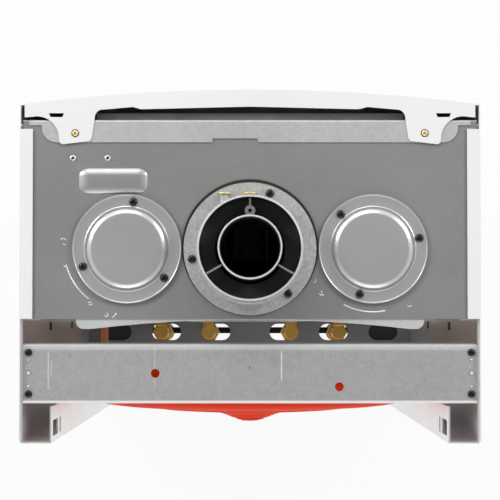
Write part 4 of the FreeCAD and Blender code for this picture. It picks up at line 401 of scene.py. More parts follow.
finishes = {
    "white_enamel": enamel("white_enamel", tone(240, 241, 240), tone(237, 238, 237), 0.2),
    "galvanised": sheet_zinc("galvanised", tone(224, 225, 225), tone(196, 197, 198), 0.45, 0.34),
    "grey_plate": satin("grey_plate", tone(152, 152, 151), tone(122, 122, 121), 0.3, 0.44),
    "light_sheet": satin("light_sheet", tone(206, 206, 205), tone(182, 182, 181), 0.7, 0.24, 2200),
    "cast_aluminium": casting("cast_aluminium", tone(196, 196, 195), tone(152, 152, 151), 0.45, 0.4),
    "black_rubber": rubber("black_rubber", tone(52, 52, 52), tone(18, 18, 18)),
    "black_paint": enamel("black_paint", tone(74, 74, 75), tone(58, 58, 59), 0.36, 900, 0.00006),
    "black_screws": zinc_black("black_screws"),
    "brass": bright_metal("brass", tone(244, 202, 112), tone(200, 150, 70), 0.7, 0.22),
    "steel": sheet_zinc("steel", tone(206, 208, 210), tone(176, 179, 182), 0.7, 0.26, 300, (1, 0.1, 1)),
    "red_paint": enamel("red_paint", tone(255, 68, 26), tone(252, 56, 18), 0.62, 760, 0.00006, 0, 0.05),
    "copper": bright_metal("copper", tone(246, 160, 104), tone(208, 120, 74), 0.65, 0.24),
    "fibre": fibre_board("fibre"),
    "ceramic": moulding("ceramic", tone(244, 240, 230), tone(222, 216, 202), 0.12, 500),
    "white_plastic": moulding("white_plastic", tone(240, 241, 240), tone(231, 232, 231), 0.34),
    "dark_plastic": moulding("dark_plastic", tone(52, 52, 54), tone(36, 36, 38), 0.42),
    "cast_iron": casting("cast_iron", tone(96, 97, 100), tone(66, 67, 70), 0.25, 0.5),
    "board": laminate("board"),
    "window": tinted_window("window"),
    "grey_plastic": moulding("grey_plastic", tone(150, 152, 154), tone(128, 130, 132), 0.36),
    "red_plastic": moulding("red_plastic", tone(206, 44, 36), tone(176, 32, 28), 0.34),
    "gauge_white": moulding("gauge_white", tone(236, 236, 232), tone(220, 220, 214), 0.3),
}
collar_casting = casting(
    "collar_casting", tone(210, 210, 209), tone(150, 150, 149), 0.4, 0.42, bore=0.04815, rim_height=0.8316)
spigot_casting = casting(
    "spigot_casting", tone(232, 232, 231), tone(190, 190, 189), 0.45, 0.34, bore=0.02812, rim_height=0.8526,
    shoulder=0.834)
# Darker copy of cast aluminium for the fan: painted shade for the dark inside seen down the spigot.
shaded_fan_casting = casting("shaded_fan_casting", tone(112, 112, 111), tone(82, 82, 81), 0.25, 0.5)
pale_brass = bright_metal("pale_brass", tone(242, 222, 164), tone(208, 182, 116), 0.6, 0.24)
pillow_sheet = satin("pillow_sheet", tone(186, 186, 185), tone(160, 160, 159), 0.7, 0.26, 2200)
chrome = bright_metal("chrome", tone(226, 227, 229), tone(188, 190, 193), 0.95, 0.08)
green_print = moulding("green_print", tone(70, 150, 84), tone(52, 126, 66), 0.4)
# Near-white copy of the plate's satin sheet: painted highlight and painted light for small marks.
painted_light_sheet = satin("painted_light_sheet", tone(246, 246, 245), tone(226, 226, 225), 0.6, 0.2)
# Galvanised sheet lightened nearly to white for the uprights: painted light for the light their webs and lips catch.
lit_upright_zinc = sheet_zinc(
    "lit_upright_zinc", tone(246, 247, 247), tone(236, 237, 237), 0.85, 0.28, mottle=0.2, uneven=0.3)
crossbar_zinc = sheet_zinc(
    "crossbar_zinc", tone(180, 180, 179), tone(150, 151, 151), 0.25, 0.46, 120, (1, 0.05, 1), 0.4,
    scores=(
        (-0.0301, 0.0003, -0.0892, -0.0590, 0.8, 250), (0.0909, 0.00025, -0.0927, -0.0520, 0.4, 235),
        (0.1924, 0.0004, -0.0889, -0.0500, 0.5, 235), (0.1895, 0.0003, -0.0800, -0.0620, 0.4, 235),
        (0.0002, 0.0006, -0.0745, -0.0695, 0.7, 60), (0.1715, 0.0004, -0.0860, -0.0810, 0.6, 70)),
    # Painted highlights along the crossbar's bends, and painted shade on the outermost front edge.
    painted_fold_light=((-0.0872, -0.0912, 0.34, 252), (-0.0935, -0.0949, 0.8, 96), (-0.0418, -0.0392, 0.95, 252)))
cover_zinc = sheet_zinc("cover_zinc", tone(210, 211, 211), tone(176, 177, 178), 0.4, 0.36)
# Black paint lightened to mid grey for the bracket: painted light against the shade it sits in.
lit_bracket_paint = enamel("lit_bracket_paint", tone(138, 138, 139), tone(122, 122, 123), 0.42, 900, 0.00006)
foam_grey = rubber("foam_grey", tone(160, 160, 161), tone(126, 126, 127))
annulus_shade_grey = moulding("annulus_shade_grey", tone(80, 80, 80), tone(64, 64, 63), 0.6)
# Darker copy of galvanised sheet for the flue hood: painted shade for the dark inside seen down the spigot.
shaded_hood_zinc = sheet_zinc("shaded_hood_zinc", tone(70, 70, 71), tone(48, 48, 49), 0.3, 0.5)
threaded_brass = bright_metal("threaded_brass", tone(250, 208, 112), tone(212, 160, 74), 0.6, 0.24, -0.007)

for node, piece in nodes.items():
    piece.data.materials.clear()
    piece.data.materials.append(finishes[slots[node]])
# The fan wheel takes the darker fan casting, painted shade down the spigot.
nodes["fan_wheel"].data.materials[0] = shaded_fan_casting


def only(piece):
    bpy.ops.object.select_all(action="DESELECT")
    piece.select_set(True)
    bpy.context.view_layer.objects.active = piece


class shaping:
    """Edit mode on one piece, with everything of one kind selected."""

    def __init__(self, piece, kind="VERT", everything=True):
        self.piece, self.kind, self.everything = piece, kind, everything

    def __enter__(self):
        only(self.piece)
        if not self.everything:
            kinds = ("VERT", "EDGE", "FACE")
            bpy.context.tool_settings.mesh_select_mode = [self.kind == kind for kind in kinds]
        bpy.ops.object.mode_set(mode="EDIT")
        bpy.ops.mesh.select_mode(type=self.kind)
        if self.everything:
            bpy.ops.mesh.select_all(action="SELECT")
        return self.piece

    def __exit__(self, *problem):
        bpy.ops.object.mode_set(mode="OBJECT")


def choose_faces(piece, wanted):
    mesh = piece.data
    for part in (mesh.vertices, mesh.edges):
        for item in part:
            item.select = False
    for face in mesh.polygons:
        face.select = wanted(face.center, face.normal)


def choose_edges(piece, wanted):
    mesh = piece.data
    for face in mesh.polygons:
        face.select = False
    for spot in mesh.vertices:
        spot.select = False
    for edge in mesh.edges:
        ends = [mesh.vertices[number] for number in edge.vertices]
        edge.select = wanted(*(end.co for end in ends))
        if edge.select:
            for end in ends:
                end.select = True


def smooth(piece, degrees=35, flat=False):
    """Smooth shading up to an angle, with large flat faces kept flat if wanted."""
    only(piece)
    bpy.ops.object.shade_smooth_by_angle(angle=math.radians(degrees))
    if flat:
        normals = piece.modifiers.new("flat_faces", "WEIGHTED_NORMAL")
        normals.keep_sharp = True
        normals.weight = 100
        bpy.ops.object.modifier_apply(modifier="flat_faces")


def rounded(piece, width, segments=2):
    """Rounds the sharp edges of a piece."""
    only(piece)
    bevel = piece.modifiers.new("rounding", "BEVEL")
    bevel.limit_method = "ANGLE"
    bevel.angle_limit = math.radians(32)
    bevel.width = width
    bevel.segments = segments
    bpy.ops.object.modifier_apply(modifier="rounding")


def fixed(piece, finish, node=None, body="frame", slot=None):
    """Gives a finished piece its material and its body, and hides the node it stands for."""
    piece.data.materials.clear()
    piece.data.materials.append(finish)
    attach(piece, body)
    if node:
        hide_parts(node)
        slot = slot or slots[node]
    return piece


def body_of(node):
    return node if node in frame["bodies"] else "frame"


def softened(node, width, segments=2, finish=None, bends=()):
    """A node's own form with its edges rounded, and its bends rounded more."""
    piece = nodes[node].copy()
    piece.data = nodes[node].data.copy()
    piece.parent = None
    piece.matrix_world = Matrix.Identity(4)
    bpy.context.scene.collection.objects.link(piece)
    piece.name = "soft_" + node
    with shaping(piece):
        bpy.ops.mesh.remove_doubles(threshold=0.00002)
        bpy.ops.mesh.dissolve_limited(angle_limit=math.radians(0.4))
    for wanted, radius in bends:
        choose_edges(piece, wanted)
        with shaping(piece, "EDGE", False):
            bpy.ops.mesh.bevel(offset=radius, segments=5)
    rounded(piece, width, segments)
    smooth(piece, 35, True)
    return fixed(piece, finish or finishes[slots[node]], node, body_of(node))


def turned(name, profile, middle, axis="z", steps=96, shade=30):
    """A piece turned from radius and height points in millimetres, round an axis through the middle."""
    bpy.ops.object.select_all(action="DESELECT")
    bpy.ops.mesh.primitive_plane_add(size=0.001)
    piece = bpy.context.object
    piece.name = name
    spots = [(radius / 1000, height / 1000) for radius, height in profile]
    with shaping(piece):
        bpy.ops.mesh.merge(type="CENTER")
        bpy.ops.transform.translate(value=(spots[0][0], 0, spots[0][1]))
        for (r0, h0), (r1, h1) in zip(spots, spots[1:]):
            bpy.ops.mesh.extrude_region_move(TRANSFORM_OT_translate={"value": (r1 - r0, 0, h1 - h0)})
        bpy.ops.mesh.select_all(action="SELECT")
        bpy.ops.mesh.spin(steps=steps, angle=2 * math.pi, center=(0, 0, 0), axis=(0, 0, 1))
        bpy.ops.mesh.select_all(action="SELECT")
        bpy.ops.mesh.remove_doubles(threshold=0.000004)
        bpy.ops.mesh.normals_make_consistent(inside=False)
    piece.rotation_euler = {"z": (0, 0, 0), "y": (-math.pi / 2, 0, 0), "x": (0, math.pi / 2, 0)}[axis]
    piece.location = middle
    only(piece)
    bpy.ops.object.transform_apply(location=True, rotation=True, scale=True)
    smooth(piece, shade)
    return piece


def copies(piece, spots, name, axis="Z"):
    """Copies of a small piece moved to each spot and turned about an axis there, joined into one piece."""
    twins = []
    for x, y, z, turn in spots:
        twin = piece.copy()
        twin.data = piece.data.copy()
        twin.data.transform(Matrix.Translation((x, y, z)) @ Matrix.Rotation(turn, 4, axis))
        bpy.context.scene.collection.objects.link(twin)
        twins.append(twin)
    bpy.ops.object.select_all(action="DESELECT")
    for twin in twins:
        twin.select_set(True)
    bpy.context.view_layer.objects.active = twins[0]
    if len(twins) > 1:
        bpy.ops.object.join()
    twins[0].name = name
    bpy.data.objects.remove(piece)
    return twins[0]


def carved(piece, tool):
    """Cuts one piece's form out of another."""
    only(piece)
    cut = piece.modifiers.new("carving", "BOOLEAN")
    cut.operation = "DIFFERENCE"
    cut.object = tool
    cut.solver = "EXACT"
    bpy.ops.object.modifier_apply(modifier="carving")
    bpy.data.objects.remove(tool)


def block(name, low, high):
    """A box between two corners, in metres."""
    bpy.ops.object.select_all(action="DESELECT")
    bpy.ops.mesh.primitive_cube_add(size=1)
    piece = bpy.context.object
    piece.name = name
    piece.scale = [b - a for a, b in zip(low, high)]
    piece.location = [(a + b) / 2 for a, b in zip(low, high)]
    bpy.ops.object.transform_apply(location=True, rotation=True, scale=True)
    return piece


def joined(*pieces):
    bpy.ops.object.select_all(action="DESELECT")
    for piece in pieces:
        piece.select_set(True)
    bpy.context.view_layer.objects.active = pieces[0]
    bpy.ops.object.join()
    return pieces[0]


def on_circle(middle, radius, degrees):
    return (middle[0] + radius / 1000 * math.cos(math.radians(degrees)),
            middle[1] + radius / 1000 * math.sin(math.radians(degrees)))


def pan_screw(head, rise, shank, length, recess):
    """A pan-head screw with a cross recess, its seat at the origin. Sizes in millimetres."""
    edge, steps = 0.2, 20
    crown = [(head * math.cos(turn * math.pi / steps) ** 0.8, edge + (rise - edge) * math.sin(turn * math.pi / steps))
             for turn in range(1, steps // 2)]
    screw = turned("screw", [
        (0, -length), (shank * 0.8, -length), (shank, -length + 1), (shank, 0), (head - 0.15, 0), (head, edge),
        *crown, (0, rise),
    ], (0, 0, 0), steps=40)
    wide, thin, floor, top = recess / 1000, recess / 4200, (rise - 1.5) / 1000, (rise + 1) / 1000
    bar = block("recess", (-wide / 2, -thin, floor), (wide / 2, thin, top))
    other = block("recess_across", (-thin, -wide / 2, floor), (thin, wide / 2, top))
    carved(screw, bar)
    carved(screw, other)
    return screw


def along(axis, **places):
    """A test for edges along one axis whose other places are given."""
    order = "xyz"

    def wanted(one, other):
        for end in (one, other):
            if any(abs(end[order.index(name)] - place) > 0.0002 for name, place in places.items()):
                return False
        return abs(one[order.index(axis)] - other[order.index(axis)]) > 0.0005

    return wanted


def upright_edge(one, other):
    return abs(one.z - other.z) > 0.001


def bead(name, middle, radius, start, end, thick=0.6):
    """A pressed bead on the plate, round part of a circle."""
    bpy.ops.object.select_all(action="DESELECT")
    bpy.ops.mesh.primitive_circle_add(vertices=12, radius=thick / 1000, fill_type="NGON")
    piece = bpy.context.object
    piece.name = name
    piece.rotation_euler = (math.pi / 2, 0, math.radians(start))
    piece.location = (*on_circle(middle, radius, start), PLATE - thick / 5000)
    bpy.ops.object.transform_apply(location=True, rotation=True, scale=True)
    with shaping(piece):
        bpy.ops.mesh.spin(steps=24, angle=math.radians(start - end), center=(*middle, PLATE), axis=(0, 0, 1))
        bpy.ops.mesh.select_all(action="SELECT")
        bpy.ops.mesh.normals_make_consistent(inside=False)
    smooth(piece, 50)
    return piece


def round_gauge(mark, turns, name):
    """Copies of a mark round the gauge's face, at turns in degrees."""
    spots = [(GAUGE[0], GAUGE_FACE, GAUGE[1], math.radians(turn)) for turn in turns]
    return copies(mark, spots, name, "Y")


def lamp(name, spot, aim, width, height, power):
    light = bpy.data.lights.new(name, "AREA")
    light.shape = "RECTANGLE"
    light.size = width
    light.size_y = height
    light.energy = power
    holder = bpy.data.objects.new(name, light)
    bpy.context.scene.collection.objects.link(holder)
    holder.location = spot
    holder.rotation_euler = (Vector(aim) - Vector(spot)).to_track_quat("-Z", "Y").to_euler()


# Casing and rear frame: bent sheet with softened edges.
for node in ("front_panel", "left_side_panel", "right_side_panel"):
    softened(node, 0.00045, 3)
for node in ("left_upright", "right_upright"):
    softened(node, 0.0005, 3, lit_upright_zinc)
low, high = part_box("top_crossbar")
softened("top_crossbar", 0.0004, 2, crossbar_zinc, bends=[
    (along("x", y=low[1], z=high[2]), 0.0034), (along("x", y=high[1], z=high[2]), 0.0034)])
low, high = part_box("chamber_cover")
softened("chamber_cover", 0.0003, 2, cover_zinc, bends=[(along("x", y=low[1], z=high[2]), 0.0022)])
for node in ("vessel_cradle", "chamber_tray"):
    softened(node, 0.0005, 3)

# Flue, chamber, water parts and controls with softened edges.
for node, width, segments, finish in (
    ("connection_bracket", 0.0005, 3, lit_bracket_paint), ("chamber_top", 0.0003, 2, None),
    ("flue_adapter", 0.0005, 3, collar_casting), ("spigot_tube", 0.0005, 3, spigot_casting),
    ("flue_gasket", 0.0004, 3, None), ("intake_gaskets", 0.0004, 3, None),
    ("pipe_connectors", 0.0006, 2, threaded_brass), ("test_point_plugs", 0.0004, 2, pale_brass),
    ("fan_housing", 0.0008, 2, shaded_fan_casting), ("fan_motor", 0.0012, 2, shaded_fan_casting),
    ("flue_hood", 0.0006, 2, shaded_hood_zinc),
):
    softened(node, width, segments, finish)
for node, width in (
    ("control_flap", 0.0008), ("control_fascia", 0.0006), ("control_box", 0.0006), ("diverter_actuator", 0.0012),
    ("flow_block", 0.0012), ("return_block", 0.0012), ("plate_exchanger", 0.0008), ("gas_valve", 0.0012),
    ("pump_volute", 0.0015), ("pump_motor", 0.0015), ("pressure_switch", 0.0012), ("safety_knob", 0.0012),
    ("filling_knob", 0.0012), ("mode_button", 0.0008), ("reset_button", 0.0008), ("power_button", 0.0008),
    ("display_window", 0.0004), ("combustion_chamber", 0.0006), ("gas_manifold", 0.0006),
):
    softened(node, width)

# Intake covers: flat rim, groove line, sloped shoulder and a slightly crowned middle.
for node, side in (("right_intake_cover", 1), ("left_intake_cover", -1)):
    low, high = (corner[2] * 1000 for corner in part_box(node))
    rim = low + 1.5
    lid = turned("lid_" + node, [
        (0, low + 2.6), (34, low + 2.4), (38.6, low), (51.9, low), (52.2, low + 0.3), (52.2, rim - 0.2),
        (52.1, rim + 0.12), (51.85, rim + 0.34), (51.5, rim + 0.4), (51.15, rim + 0.3), (50.9, rim + 0.08),
        (50.6, rim), (41.4, rim), (40.9, rim + 0.1), (40.5, rim + 0.36), (40.1, rim + 0.48), (39.7, rim + 0.36),
        (39.2, rim - 0.1), (38.7, rim - 0.4), (38.2, rim - 0.4), (38, rim), (37.85, rim + 2.3), (37.6, rim + 2.7),
        (37.2, rim + 3.0), (36.6, rim + 3.38), (36, rim + 3.74), (35.4, rim + 4.07), (34.8, rim + 4.38),
        (34.2, rim + 4.64), (33.6, high - 0.16), (32.6, high - 0.06), (22, high - 0.02), (0, high),
    ], (side * INTAKE_SIDE, FLUE[1], 0), steps=128)
    fixed(lid, finishes["light_sheet"], node)

# Screws and rivets. Each port has three screws on a circle, given with its turn and seat.
ports = (
    (FLUE, 56.2, 10.2, 0.8022),
    ((INTAKE_SIDE, FLUE[1]), 45.2, 22.1, 0.8006),
    ((-INTAKE_SIDE, FLUE[1]), 45.2, 73.2, 0.8006),
)
spots = []
for number, (middle, circle, turn, seat) in enumerate(ports):
    for third in range(3):
        spots.append((*on_circle(middle, circle, turn + 120 * third), seat, 0.4 + number + 0.9 * third))
heads = copies(pan_screw(4, 2.7, 1.85, 9.8, 1.2), spots, "port_screw_heads")
fixed(heads, finishes["black_screws"], "port_screws")

low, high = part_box("crossbar_screws")
spots = [(x, y, high[2] - 0.0024, 0.3 + 11 * x + 17 * y)
         for x in (low[0] + 0.0036, high[0] - 0.0036) for y in (low[1] + 0.0036, high[1] - 0.0036)]
heads = copies(pan_screw(3.6, 2.3, 1.85, 6.8, 1.1), spots, "crossbar_screw_heads")
fixed(heads, finishes["black_screws"], "crossbar_screws")

low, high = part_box("casing_screws")
spots = [(x, (low[1] + high[1]) / 2, CASING_TOP, 0.5 + 3 * x) for x in (low[0] + 0.003, high[0] - 0.003)]
fixed(copies(pan_screw(3, 2, 1.9, 2.3, 3.2), spots, "casing_screw_heads"), pale_brass, "casing_screws")

low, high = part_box("plate_rivets")
rivet = turned("rivet", [
    (0.9, -4), (1.75, -4), (1.75, 0), (2.9, 0), (3, 0.2), (2.85, 0.55), (2.4, 0.85), (1.8, 0.97), (1.45, 0.8),
    (1.25, 0.3), (1.2, -2.5), (0.9, -2.7), (0.9, -4),
], (0, 0, 0), steps=40)
spots = [(x, (low[1] + high[1]) / 2, PLATE, 0) for x in (low[0] + 0.003, high[0] - 0.003)]
fixed(copies(rivet, spots, "rivet_heads"), finishes["steel"], "plate_rivets")

# Expansion vessel: two pressed halves rolled together at a seam, the rear one drawn out into a ringed boss.
vessel = turned("vessel_shell", [
    (0, 46.8), (3.4, 46.8), (4.2, 46.3), (5, 46.75), (8, 46.5), (9.6, 46.1), (10.3, 45), (11.1, 45.6), (13, 45.2),
    (15.2, 44.5), (15.8, 43), (16.8, 42.7), (17.6, 43.3), (20, 42.6), (24, 41), (28, 39.4), (32, 38.1), (37, 37),
    (44, 36.2), (54, 35.6), (66, 35), (84, 33.9), (98, 32.9), (99.5, 32.3), (100.8, 30.7), (103.4, 30.5),
    (104.8, 31.6), (106.4, 31.7), (125, 29.9), (145, 28.4), (158, 26.8), (165.6, 25.2), (172, 22.8), (177, 19.8),
    (181, 15.8), (183.6, 11.6), (184.8, 7), (185, 4.6), (187.2, 4.5), (187.9, 3.9), (188, 3.2), (188, -3.2),
    (187.9, -3.9), (187.2, -4.5), (185, -4.6), (184.8, -7), (183.6, -11.6), (181, -16.4), (177, -20.8), (172, -24),
    (165.6, -26.6), (158, -28.4), (145, -30.4), (118, -34.2), (84, -36.2), (40, -37.6), (0, -38),
], (0, VESSEL_MIDDLE, 0.5), "y", 160, 40)
nipple = turned("vessel_nipple", [
    (4.2, 338.8), (7.4, 338.8), (8, 339.4), (8, 346.5), (9.6, 347), (9.8, 348), (9.8, 353), (10.6, 354.5), (12, 358),
    (4.2, 358), (4.2, 338.8),
], (0.11193, VESSEL_MIDDLE, 0), "z", 48)
fixed(joined(vessel, nipple), finishes["red_paint"], "expansion_vessel")

# Foam strip that seals the chamber cover against the front panel.
low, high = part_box("chamber_cover")
strip = block("cover_foam", (-0.148, low[1] - 0.0079, 0.770), (0.148, low[1] - 0.00002, 0.7872))
with shaping(strip):
    bpy.ops.mesh.subdivide(number_cuts=3)
rounded(strip, 0.0009, 3)
smooth(strip)
fixed(strip, foam_grey, None, "frame", "black_rubber")

# Dark pads behind the slots in the uprights' webs: painted shade for the dark seen through the slots.
low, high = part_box("right_upright")
pads = []
for side in (-1, 1):
    for top in (0.5495, 0.3025):
        left, right = sorted((side * (high[0] - 0.0007), side * (high[0] - 0.00002)))
        pads.append(block(
            "slot_shade_pad", (left, low[1] + 0.0041, top - 0.0299), (right, low[1] + 0.0129, top - 0.0001)))
pads = joined(*pads)
rounded(pads, 0.0001, 2)
fixed(pads, finishes["black_rubber"], None, "frame", "black_rubber")

# Controls: fluted knobs with pale pointers, printed scales, button rings, display frame and pressure gauge.
dials = {"heating_knob": -0.078, "hot_water_knob": 0.078}
KNOB_STEPS = 96
for node, across in dials.items():
    knob = turned("cap_" + node, [
        (0, -326.3), (9.4, -326.3), (10.2, -326.5), (10.8, -326.9), (12.4, -327), (13.4, -326.6), (14.2, -325.4),
        (14.6, -323.4), (14.9, -318), (15, -316), (14.8, -315.2), (14.2, -315), (3.2, -315), (3, -314.6),
        (3, -299.8), (2.7, -299.5), (0, -299.5),
    ], (across, 0, KNOB_HEIGHT), "y", KNOB_STEPS)
    for part in (knob.data.polygons, knob.data.edges):
        for item in part:
            item.select = False
    for spot in knob.data.vertices:
        aside, above = spot.co.x - across, spot.co.z - KNOB_HEIGHT
        step = round(math.atan2(above, aside) / (2 * math.pi) * KNOB_STEPS)
        on_grip = -0.3245 < spot.co.y < -0.3155 and math.hypot(aside, above) > 0.0143
        spot.select = step % 4 in (0, 1) and on_grip
    with shaping(knob, "VERT", False):
        bpy.ops.transform.resize(value=(0.94, 1, 0.94), center_override=(across, 0, KNOB_HEIGHT))
    smooth(knob, 30)
    fixed(knob, finishes["grey_plastic"], node, body_of(node))
    pointer = block("pointer_" + node, (across - 0.0011, -0.3279, 0.1012), (across + 0.0011, -0.3262, 0.1092))
    rounded(pointer, 0.0004, 2)
    fixed(pointer, finishes["white_plastic"], None, body_of(node), "white_plastic")

tick = block("tick", (-0.0004, -0.0002, 0.0185), (0.0004, 0.00002, 0.0215))
spots = [(across, FASCIA, KNOB_HEIGHT, math.radians(27 * turn)) for across in dials.values() for turn in range(-5, 6)]
dots = turned("scale_end", [(0, -0.2), (1, -0.2), (1, 0.02), (0, 0.02)], (0, 0, 0), "y", 20)
ends = [(across + side * 0.0165, FASCIA, 0.0790, 0) for across in dials.values() for side in (-1, 1)]
scales = joined(copies(tick, spots, "knob_scales", "Y"), copies(dots, ends, "scale_ends"))
fixed(scales, finishes["dark_plastic"], None, "frame", "dark_plastic")

ring = turned("button_ring", [
    (5.7, 0), (7.2, 0), (7.3, -0.3), (7.1, -0.7), (6.6, -0.95), (6.1, -0.9), (5.75, -0.6), (5.7, 0),
], (0, 0, 0), "y", 48)
spots = [(across, FASCIA, 0.050, 0) for across in (-0.032, 0, 0.032)]
fixed(copies(ring, spots, "button_rings"), chrome, None, "frame", "steel")

bezel = block("display_frame", (-0.0405, -0.3158, 0.0715), (0.0405, FASCIA + 0.00002, 0.1205))
carved(bezel, block("opening", (-0.0361, -0.33, 0.0759), (0.0361, -0.30, 0.1161)))
rounded(bezel, 0.0006, 3)
smooth(bezel, 35, True)
fixed(bezel, finishes["dark_plastic"], None, "frame", "dark_plastic")

face = turned("gauge_shell", [
    (0, -317), (0.8, -317), (0.8, -315.5), (18, -315.5), (18.2, -316.8), (18.7, -317.4), (19.4, -317.5),
    (21.6, -317.5), (22.3, -317.1), (22.5, -316.4), (22.5, -314.5), (20, -314.5), (20, -300.9), (19.6, -300.5),
    (0, -300.5),
], (GAUGE[0], 0, GAUGE[1]), "y", 96)
fixed(face, finishes["gauge_white"], "gauge_body")
ring = turned("gauge_bezel", [
    (18.05, -316.6), (18.6, -317.38), (19.3, -317.52), (20.4, -317.56), (21.7, -317.52), (22.4, -317.12),
    (22.56, -316.4), (22.56, -314.52), (22.4, -314.52), (22.4, -316.3), (22.2, -317), (21.6, -317.4),
    (19.4, -317.4), (18.05, -316.6),
], (GAUGE[0], 0, GAUGE[1]), "y", 96)
fixed(ring, chrome, None, "frame", "steel")
short = block("tick", (-0.00022, -0.00012, 0.0142), (0.00022, 0.00002, 0.0164))
short = round_gauge(short, range(-135, 136, 9), "gauge_short_ticks")
long = block("tick", (-0.0004, -0.00014, 0.0130), (0.0004, 0.00002, 0.0164))
long = round_gauge(long, range(-135, 136, 45), "gauge_long_ticks")
fixed(joined(short, long), finishes["dark_plastic"], None, "frame", "gauge_white")
for name, turns, finish in (
    ("gauge_green_zone", range(-80, -15, 5), green_print),
    ("gauge_red_zone", range(70, 140, 5), finishes["red_plastic"]),
):
    zone = round_gauge(block("zone", (-0.00056, -0.0001, 0.0108), (0.00056, 0.00002, 0.0124)), turns, name)
    fixed(zone, finish, None, "frame", "gauge_white")

# Water parts: pressed ribs on the plate exchanger, a lid on the diverter's actuator and hexagon plugs in the blocks.
low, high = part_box("plate_exchanger")
middle = (low[2] + high[2]) / 2
ribs = []
for side in (-1, 1):
    rib = block("rib", (-0.0011, -0.0004, min(0, side * 0.024)), (0.0011, 0.0008, max(0, side * 0.024)))
    rounded(rib, 0.0004, 2)
    spots = [(0.011 * step, high[1], middle + side * 0.0015, side * math.radians(38)) for step in range(-6, 7)]
    ribs.append(copies(rib, spots, "exchanger_ribs", "Y"))
ribs = joined(*ribs)
smooth(ribs, 40)
fixed(ribs, finishes["steel"], None, "frame", "steel")

low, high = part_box("diverter_actuator")
lid = block("actuator_lid", (low[0] - 0.0008, low[1] - 0.0008, high[2] - 0.020),
            (high[0] + 0.0008, high[1] + 0.0008, high[2] + 0.0006))
choose_edges(lid, upright_edge)
with shaping(lid, "EDGE", False):
    bpy.ops.mesh.bevel(offset=0.004, segments=6)
rounded(lid, 0.0009, 3)
smooth(lid, 35, True)
fixed(lid, finishes["grey_plastic"], None, "frame", "grey_plastic")

plugs = []
for node, across in (("flow_block", -0.118), ("return_block", 0.118)):
    seat = (across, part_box(node)[1][1], 0.116)
    plugs.append(turned(
        "plug_washer", [(0, -0.4), (11, -0.4), (11, 0.9), (10.6, 1.3), (0, 1.3)], seat, "y", 48))
    plugs.append(turned(
        "plug_hexagon", [(0, 1), (8.6, 1), (8.6, 5.6), (7.7, 6.2), (3, 6.2), (2.6, 5.2), (0, 5.2)], seat, "y", 6, 20))
fixed(joined(*plugs), finishes["brass"], None, "frame", "brass")

# Strap round the tails below the bracket, and blanks under the bracket's end slots.
strap = block("tail_strap", (-0.150, -0.1052, -0.006), (0.150, -0.0968, -0.002))
with shaping(strap):
    bpy.ops.mesh.subdivide(number_cuts=2)
rounded(strap, 0.0006, 2)
low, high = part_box("connection_bracket")
blanks = []
for side in (-1, 1):
    left, right = sorted((side * 0.1585, side * 0.2010))
    blanks.append(block("slot_blank", (left, -0.1120, high[2] - 0.0034), (right, -0.0860, high[2] - 0.0022)))
blanks = joined(*blanks)
rounded(blanks, 0.0003, 2)
fixed(joined(strap, blanks), finishes["dark_plastic"], None, "frame", "dark_plastic")

# Tab ends in the crossbar's end holes, in a near-white sheet: painted light for the white that shows through the
# holes.
low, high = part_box("top_crossbar")
for number, (radius, rows) in enumerate(((1.2, (-0.0794, -0.0543)), (1.9, (-0.0667,)))):
    pip = turned("pip", [
        (0, -1.2), (radius, -1.2), (radius, -0.35), (radius * 0.8, -0.12), (radius * 0.5, 0), (0, 0.05),
    ], (0, 0, 0), steps=24)
    spots = [(side * 0.2116, row, high[2] - 0.0002, 0) for side in (-1, 1) for row in rows]
    fixed(copies(pip, spots, f"crossbar_pips_{number}"), painted_light_sheet, None, "frame", "steel")

# Stamped pillow on the plate: broad soft slopes, wider at the ends.
PILLOW = (0.13075, -0.25055)
PILLOW_SQUEEZE = 0.76
pillow = block("plate_pillow", (0.0976, -0.2630, PLATE - 0.016), (0.1639, -0.2381, PLATE))
with shaping(pillow):
    bpy.ops.transform.resize(value=(PILLOW_SQUEEZE, 1, 1), center_override=(*PILLOW, PLATE))
choose_edges(pillow, upright_edge)
with shaping(pillow, "EDGE", False):
    bpy.ops.mesh.bevel(offset=0.0078, segments=8)
choose_edges(pillow, lambda one, other: one.z > PLATE - 0.0001 and other.z > PLATE - 0.0001)
with shaping(pillow, "EDGE", False):
    bpy.ops.mesh.bevel(offset=0.0074, segments=12, profile=0.36)
with shaping(pillow):
    bpy.ops.transform.resize(value=(1 / PILLOW_SQUEEZE, 1, 0.46), center_override=(*PILLOW, PLATE - 0.0076))
    bpy.ops.transform.translate(value=(0, 0, 0.0075))
smooth(pillow, 60)
fixed(pillow, pillow_sheet, None, "frame", "grey_plate")

# Thicker rear of the air collar's wall: a sleeve set back from the flue axis, with the bore cut out of it.
pad = turned("collar_rear_pad", [
    (40, 802.1), (51.6, 802.1), (50.8, 803.2), (50.5, 806), (50.4, 828.4), (50.2, 829.2), (49.7, 829.6), (40, 829.7),
    (40, 802.1),
], (0, FLUE[1] + 0.0027, 0), steps=96)
carved(pad, turned("bore", [(0, 790), (49, 790), (49, 840), (0, 840), (0, 790)], (*FLUE, 0), steps=96))
smooth(pad, 40)
fixed(pad, collar_casting, None, "frame", "cast_aluminium")

# Dark ring across the floor of the annulus between the collar and the flue spigot: painted shade for the dark down in
# the annulus.
ring = turned("annulus_shade_ring", [
    (33.2, 793.4), (33.6, 792.8), (47.4, 792.8), (47.98, 793.2), (47.98, 795.4), (47.5, 795.6), (47, 795.2),
    (46.6, 794.5), (34, 794.3), (33.4, 794), (33.2, 793.4),
], (*FLUE, 0), steps=96)
fixed(ring, annulus_shade_grey, None, "frame", "dark_plastic")

